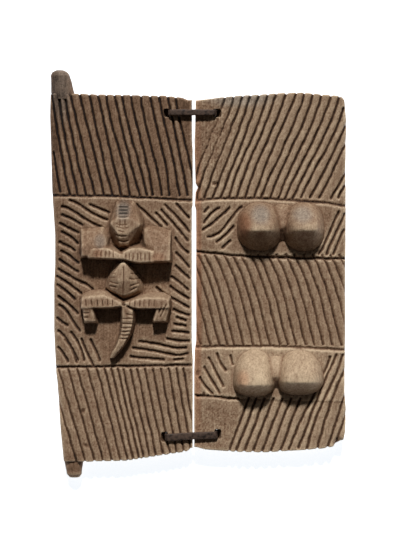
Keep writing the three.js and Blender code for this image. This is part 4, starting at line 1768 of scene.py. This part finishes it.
@dataclass(frozen=True)
class WeatheredHardwood:
    """Old hardwood, adzed and carved, then handled and weathered bare for generations.

    To the eye it is matt and dry: brown to tan streaks along the grain, black dirt in the cuts,
    and paler, slightly polished edges and high spots. Shade in broad hollows and a grey sheen on
    the bosses are painted into its colour.
    """

    ramp: tuple[tuple[float, str], ...] = (
        (0.0, "#170b06"), (0.2, "#3c2616"), (0.4, "#6b4f39"), (0.55, "#8a6b52"),
        (0.7, "#a68a6f"), (0.85, "#c3a88a"), (1.0, "#dcc2a0"),
    )
    red_tint: str = "#8c5434"
    grey_and_sheen_tint: str = "#71695f"
    fibre_width: float = 1.6  # mm; real fibres are finer and wouldn't show
    fibre_length: float = 26.0
    mottle_size: float = 11.0
    speck_size: float = 1.7

    def build(self) -> bpy.types.Material:
        """Adds streaks, mottling, specks and the stored values up and looks the sum up in a ramp.

        Returns:
            The material.
        """
        material = bpy.data.materials.new("weathered_hardwood_hand_carved")
        material.use_nodes = True
        tree = material.node_tree
        tree.nodes.clear()
        place = add_node(tree, "ShaderNodeTexCoord").outputs["Object"]
        stretched = add_node(tree, "ShaderNodeMapping", inputs={
            "Vector": place,
            "Scale": (1 / (self.fibre_width * MILLIMETRE), 1 / (self.fibre_length * MILLIMETRE),
                      1 / (self.fibre_width * MILLIMETRE)),
        }).outputs["Vector"]
        fibre = add_node(tree, "ShaderNodeTexNoise", inputs={
            "Vector": stretched, "Scale": 1.0, "Detail": 3.0, "Roughness": 0.6,
        }).outputs["Fac"]
        mottle = add_node(tree, "ShaderNodeTexNoise", inputs={
            "Vector": place, "Scale": 1 / (self.mottle_size * MILLIMETRE), "Detail": 3.0,
            "Roughness": 0.65,
        }).outputs["Fac"]
        speck = add_node(tree, "ShaderNodeTexNoise", inputs={
            "Vector": place, "Scale": 1 / (self.speck_size * MILLIMETRE), "Detail": 2.0,
            "Roughness": 0.7,
        }).outputs["Fac"]
        stored = {
            name: add_node(tree, "ShaderNodeAttribute", {"attribute_name": name}).outputs["Fac"]
            for name in ("cut", "worn", "hollow", "tone", "ruddy", "grey")
        }
        total = add_node(tree, "ShaderNodeMath", {"operation": "ADD"},
                         {0: stored["tone"], 1: -0.46}).outputs[0]
        pores = add_node(tree, "ShaderNodeMapRange", inputs={
            "Value": speck, "From Min": 0.34, "From Max": 0.46,
        }).outputs[0]
        # hollow adds painted shade: darker in broad hollows, paler on broad high spots
        for source, weight in (
            (fibre, 0.3), (mottle, 0.3), (speck, 0.26), (pores, 0.1), (stored["cut"], -0.08),
            (stored["worn"], 0.2), (stored["hollow"], 0.16),
        ):
            total = add_node(tree, "ShaderNodeMath", {"operation": "MULTIPLY_ADD"},
                             {0: source, 1: weight, 2: total}).outputs[0]
        ramp = add_node(tree, "ShaderNodeValToRGB", inputs={"Fac": total})
        stops = ramp.color_ramp.elements
        for position, colour in self.ramp[1:-1]:
            stops.new(position)
        for stop, (position, colour) in zip(stops, self.ramp):
            stop.position = position
            stop.color = linear(colour)
        colour = ramp.outputs["Color"]
        # the grey tint is partly grey patina and partly a painted sheen
        for tint, amount in ((self.red_tint, stored["ruddy"]), (self.grey_and_sheen_tint, stored["grey"])):
            colour = add_node(tree, "ShaderNodeMix", {"data_type": "RGBA", "blend_type": "COLOR"}, {
                0: amount, 6: colour, 7: linear(tint),
            }).outputs[2]
        grain = add_node(tree, "ShaderNodeMath", {"operation": "MULTIPLY_ADD"},
                         {0: speck, 1: 0.8, 2: fibre}).outputs[0]
        bump = add_node(tree, "ShaderNodeBump", inputs={
            "Strength": 0.9, "Distance": 0.6 * MILLIMETRE, "Height": grain,
        }).outputs["Normal"]
        shine = add_node(tree, "ShaderNodeMapRange", inputs={
            "Value": stored["worn"], "From Min": -0.2, "From Max": 0.8, "To Min": 0.82,
            "To Max": 0.58,
        }).outputs[0]
        surface = add_node(tree, "ShaderNodeBsdfPrincipled", inputs={
            "Base Color": colour, "Roughness": shine, "IOR": 1.5, "Specular IOR Level": 0.35,
            "Normal": bump,
        })
        add_node(tree, "ShaderNodeOutputMaterial", inputs={"Surface": surface.outputs["BSDF"]})
        return material


@dataclass(frozen=True)
class ForgedIron:
    """Wrought iron, hammered at the forge and left bare to brown.

    To the eye it is dark brown-grey with a dull sheen, mottled by old rust, and a little
    brighter where the hammer left high spots.
    """

    dark: str = "#2b211c"
    rust: str = "#6a5548"
    rust_size: float = 4.5
    pit_size: float = 1.4

    def build(self) -> bpy.types.Material:
        """Mixes bare iron and rust by a mottled noise, with small pits.

        Returns:
            The material.
        """
        material = bpy.data.materials.new("wrought_iron_forged")
        material.use_nodes = True
        tree = material.node_tree
        tree.nodes.clear()
        place = add_node(tree, "ShaderNodeTexCoord").outputs["Object"]
        mottle = add_node(tree, "ShaderNodeTexNoise", inputs={
            "Vector": place, "Scale": 1 / (self.rust_size * MILLIMETRE), "Detail": 4.0,
            "Roughness": 0.7,
        }).outputs["Fac"]
        pits = add_node(tree, "ShaderNodeTexNoise", inputs={
            "Vector": place, "Scale": 1 / (self.pit_size * MILLIMETRE), "Detail": 2.0,
        }).outputs["Fac"]
        share = add_node(tree, "ShaderNodeMapRange", inputs={
            "Value": mottle, "From Min": 0.35, "From Max": 0.65,
        }).outputs[0]
        colour = add_node(tree, "ShaderNodeMix", {"data_type": "RGBA"}, {
            0: share, 6: linear(self.dark), 7: linear(self.rust),
        }).outputs[2]
        rough = add_node(tree, "ShaderNodeMapRange", inputs={
            "Value": mottle, "From Min": 0.35, "From Max": 0.65, "To Min": 0.45, "To Max": 0.8,
        }).outputs[0]
        bump = add_node(tree, "ShaderNodeBump", inputs={
            "Strength": 0.7, "Distance": 0.3 * MILLIMETRE, "Height": pits,
        }).outputs["Normal"]
        surface = add_node(tree, "ShaderNodeBsdfPrincipled", inputs={
            "Base Color": colour, "Metallic": 0.45, "Roughness": rough, "Normal": bump,
        })
        add_node(tree, "ShaderNodeOutputMaterial", inputs={"Surface": surface.outputs["BSDF"]})
        return material


@dataclass(frozen=True)
class Studio:
    """The pale floor, the soft light from beyond the door's top, and the camera above it."""

    image: tuple[int, int] = (410, 547)
    pixel: float = 1.4  # mm of the door's face shown by one pixel
    middle: Point = (9.73, 0.35)
    lens: float = 100.0
    sensor: float = 36.0
    floor_size: float = 9000.0
    floor_drop: float = 0.5
    floor_colour: str = "#eef1f4"
    floor_glow: str = "#f4f9fe"
    key_height: float = 44.0  # degrees above the door's face
    key_turn: float = 1.0  # degrees to the right of the door's top
    key_size: float = 6.0
    key_power: float = 2.9
    fill: float = 0.05

    def add_floor(self) -> None:
        """A matt, faintly glowing plane, so that the gap between the planks shows pale."""
        half = self.floor_size / 2
        corners = np.array([(x, y, -self.floor_drop) for x, y in
                            ((-half, -half), (half, -half), (half, half), (-half, half))])
        mesh = bpy.data.meshes.new("floor")
        mesh.from_pydata(corners * MILLIMETRE, [], [(0, 1, 2, 3)])
        floor = bpy.data.objects.new("floor", mesh)
        bpy.context.scene.collection.objects.link(floor)
        material = bpy.data.materials.new("painted_board_matt")
        material.use_nodes = True
        surface = material.node_tree.nodes["Principled BSDF"]
        surface.inputs["Base Color"].default_value = linear(self.floor_colour)
        surface.inputs["Roughness"].default_value = 0.9
        surface.inputs["Emission Color"].default_value = linear(self.floor_glow)
        surface.inputs["Emission Strength"].default_value = 0.95
        mesh.materials.append(material)

    def add_light(self) -> None:
        """A soft key like a large window, and an even low fill from all round."""
        lamp = bpy.data.lights.new("key", "SUN")
        lamp.energy = self.key_power
        lamp.angle = math.radians(self.key_size)
        key = bpy.data.objects.new("key", lamp)
        key.rotation_euler = (math.radians(-(90.0 - self.key_height)), 0.0,
                              math.radians(-self.key_turn))
        bpy.context.scene.collection.objects.link(key)
        world = bpy.data.worlds.new("studio")
        world.use_nodes = True
        back = world.node_tree.nodes["Background"]
        back.inputs["Color"].default_value = (1.0, 0.98, 0.95, 1.0)
        back.inputs["Strength"].default_value = self.fill
        bpy.context.scene.world = world

    def add_camera(self) -> None:
        """Straight above the door, as far off as its lens needs: f * width / sensor."""
        lens = bpy.data.cameras.new("camera")
        lens.lens = self.lens
        lens.sensor_width = self.sensor
        distance = self.lens * max(self.image) * self.pixel / self.sensor
        camera = bpy.data.objects.new("camera", lens)
        camera.location = (
            self.middle[0] * MILLIMETRE, self.middle[1] * MILLIMETRE,
            (FACE + distance) * MILLIMETRE,
        )
        bpy.context.scene.collection.objects.link(camera)
        bpy.context.scene.camera = camera

    def build(self) -> None:
        """Adds everything but the door."""
        self.add_floor()
        self.add_light()
        self.add_camera()
        bpy.context.scene.view_settings.view_transform = "Standard"


def main() -> None:
    """Builds the door piece by piece."""
    logging.basicConfig(level=logging.INFO, format="%(message)s")
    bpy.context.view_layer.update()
    Studio().build()
    wood = WeatheredHardwood().build()
    iron = ForgedIron().build()
    LeftPlank().build(wood)
    RightPlank().build(wood)
    for staple in (TOP_STAPLE, BOTTOM_STAPLE):
        dress(staple.build(), iron, staple.node, IRON_SLOT)


if __name__ == "__main__":
    main()
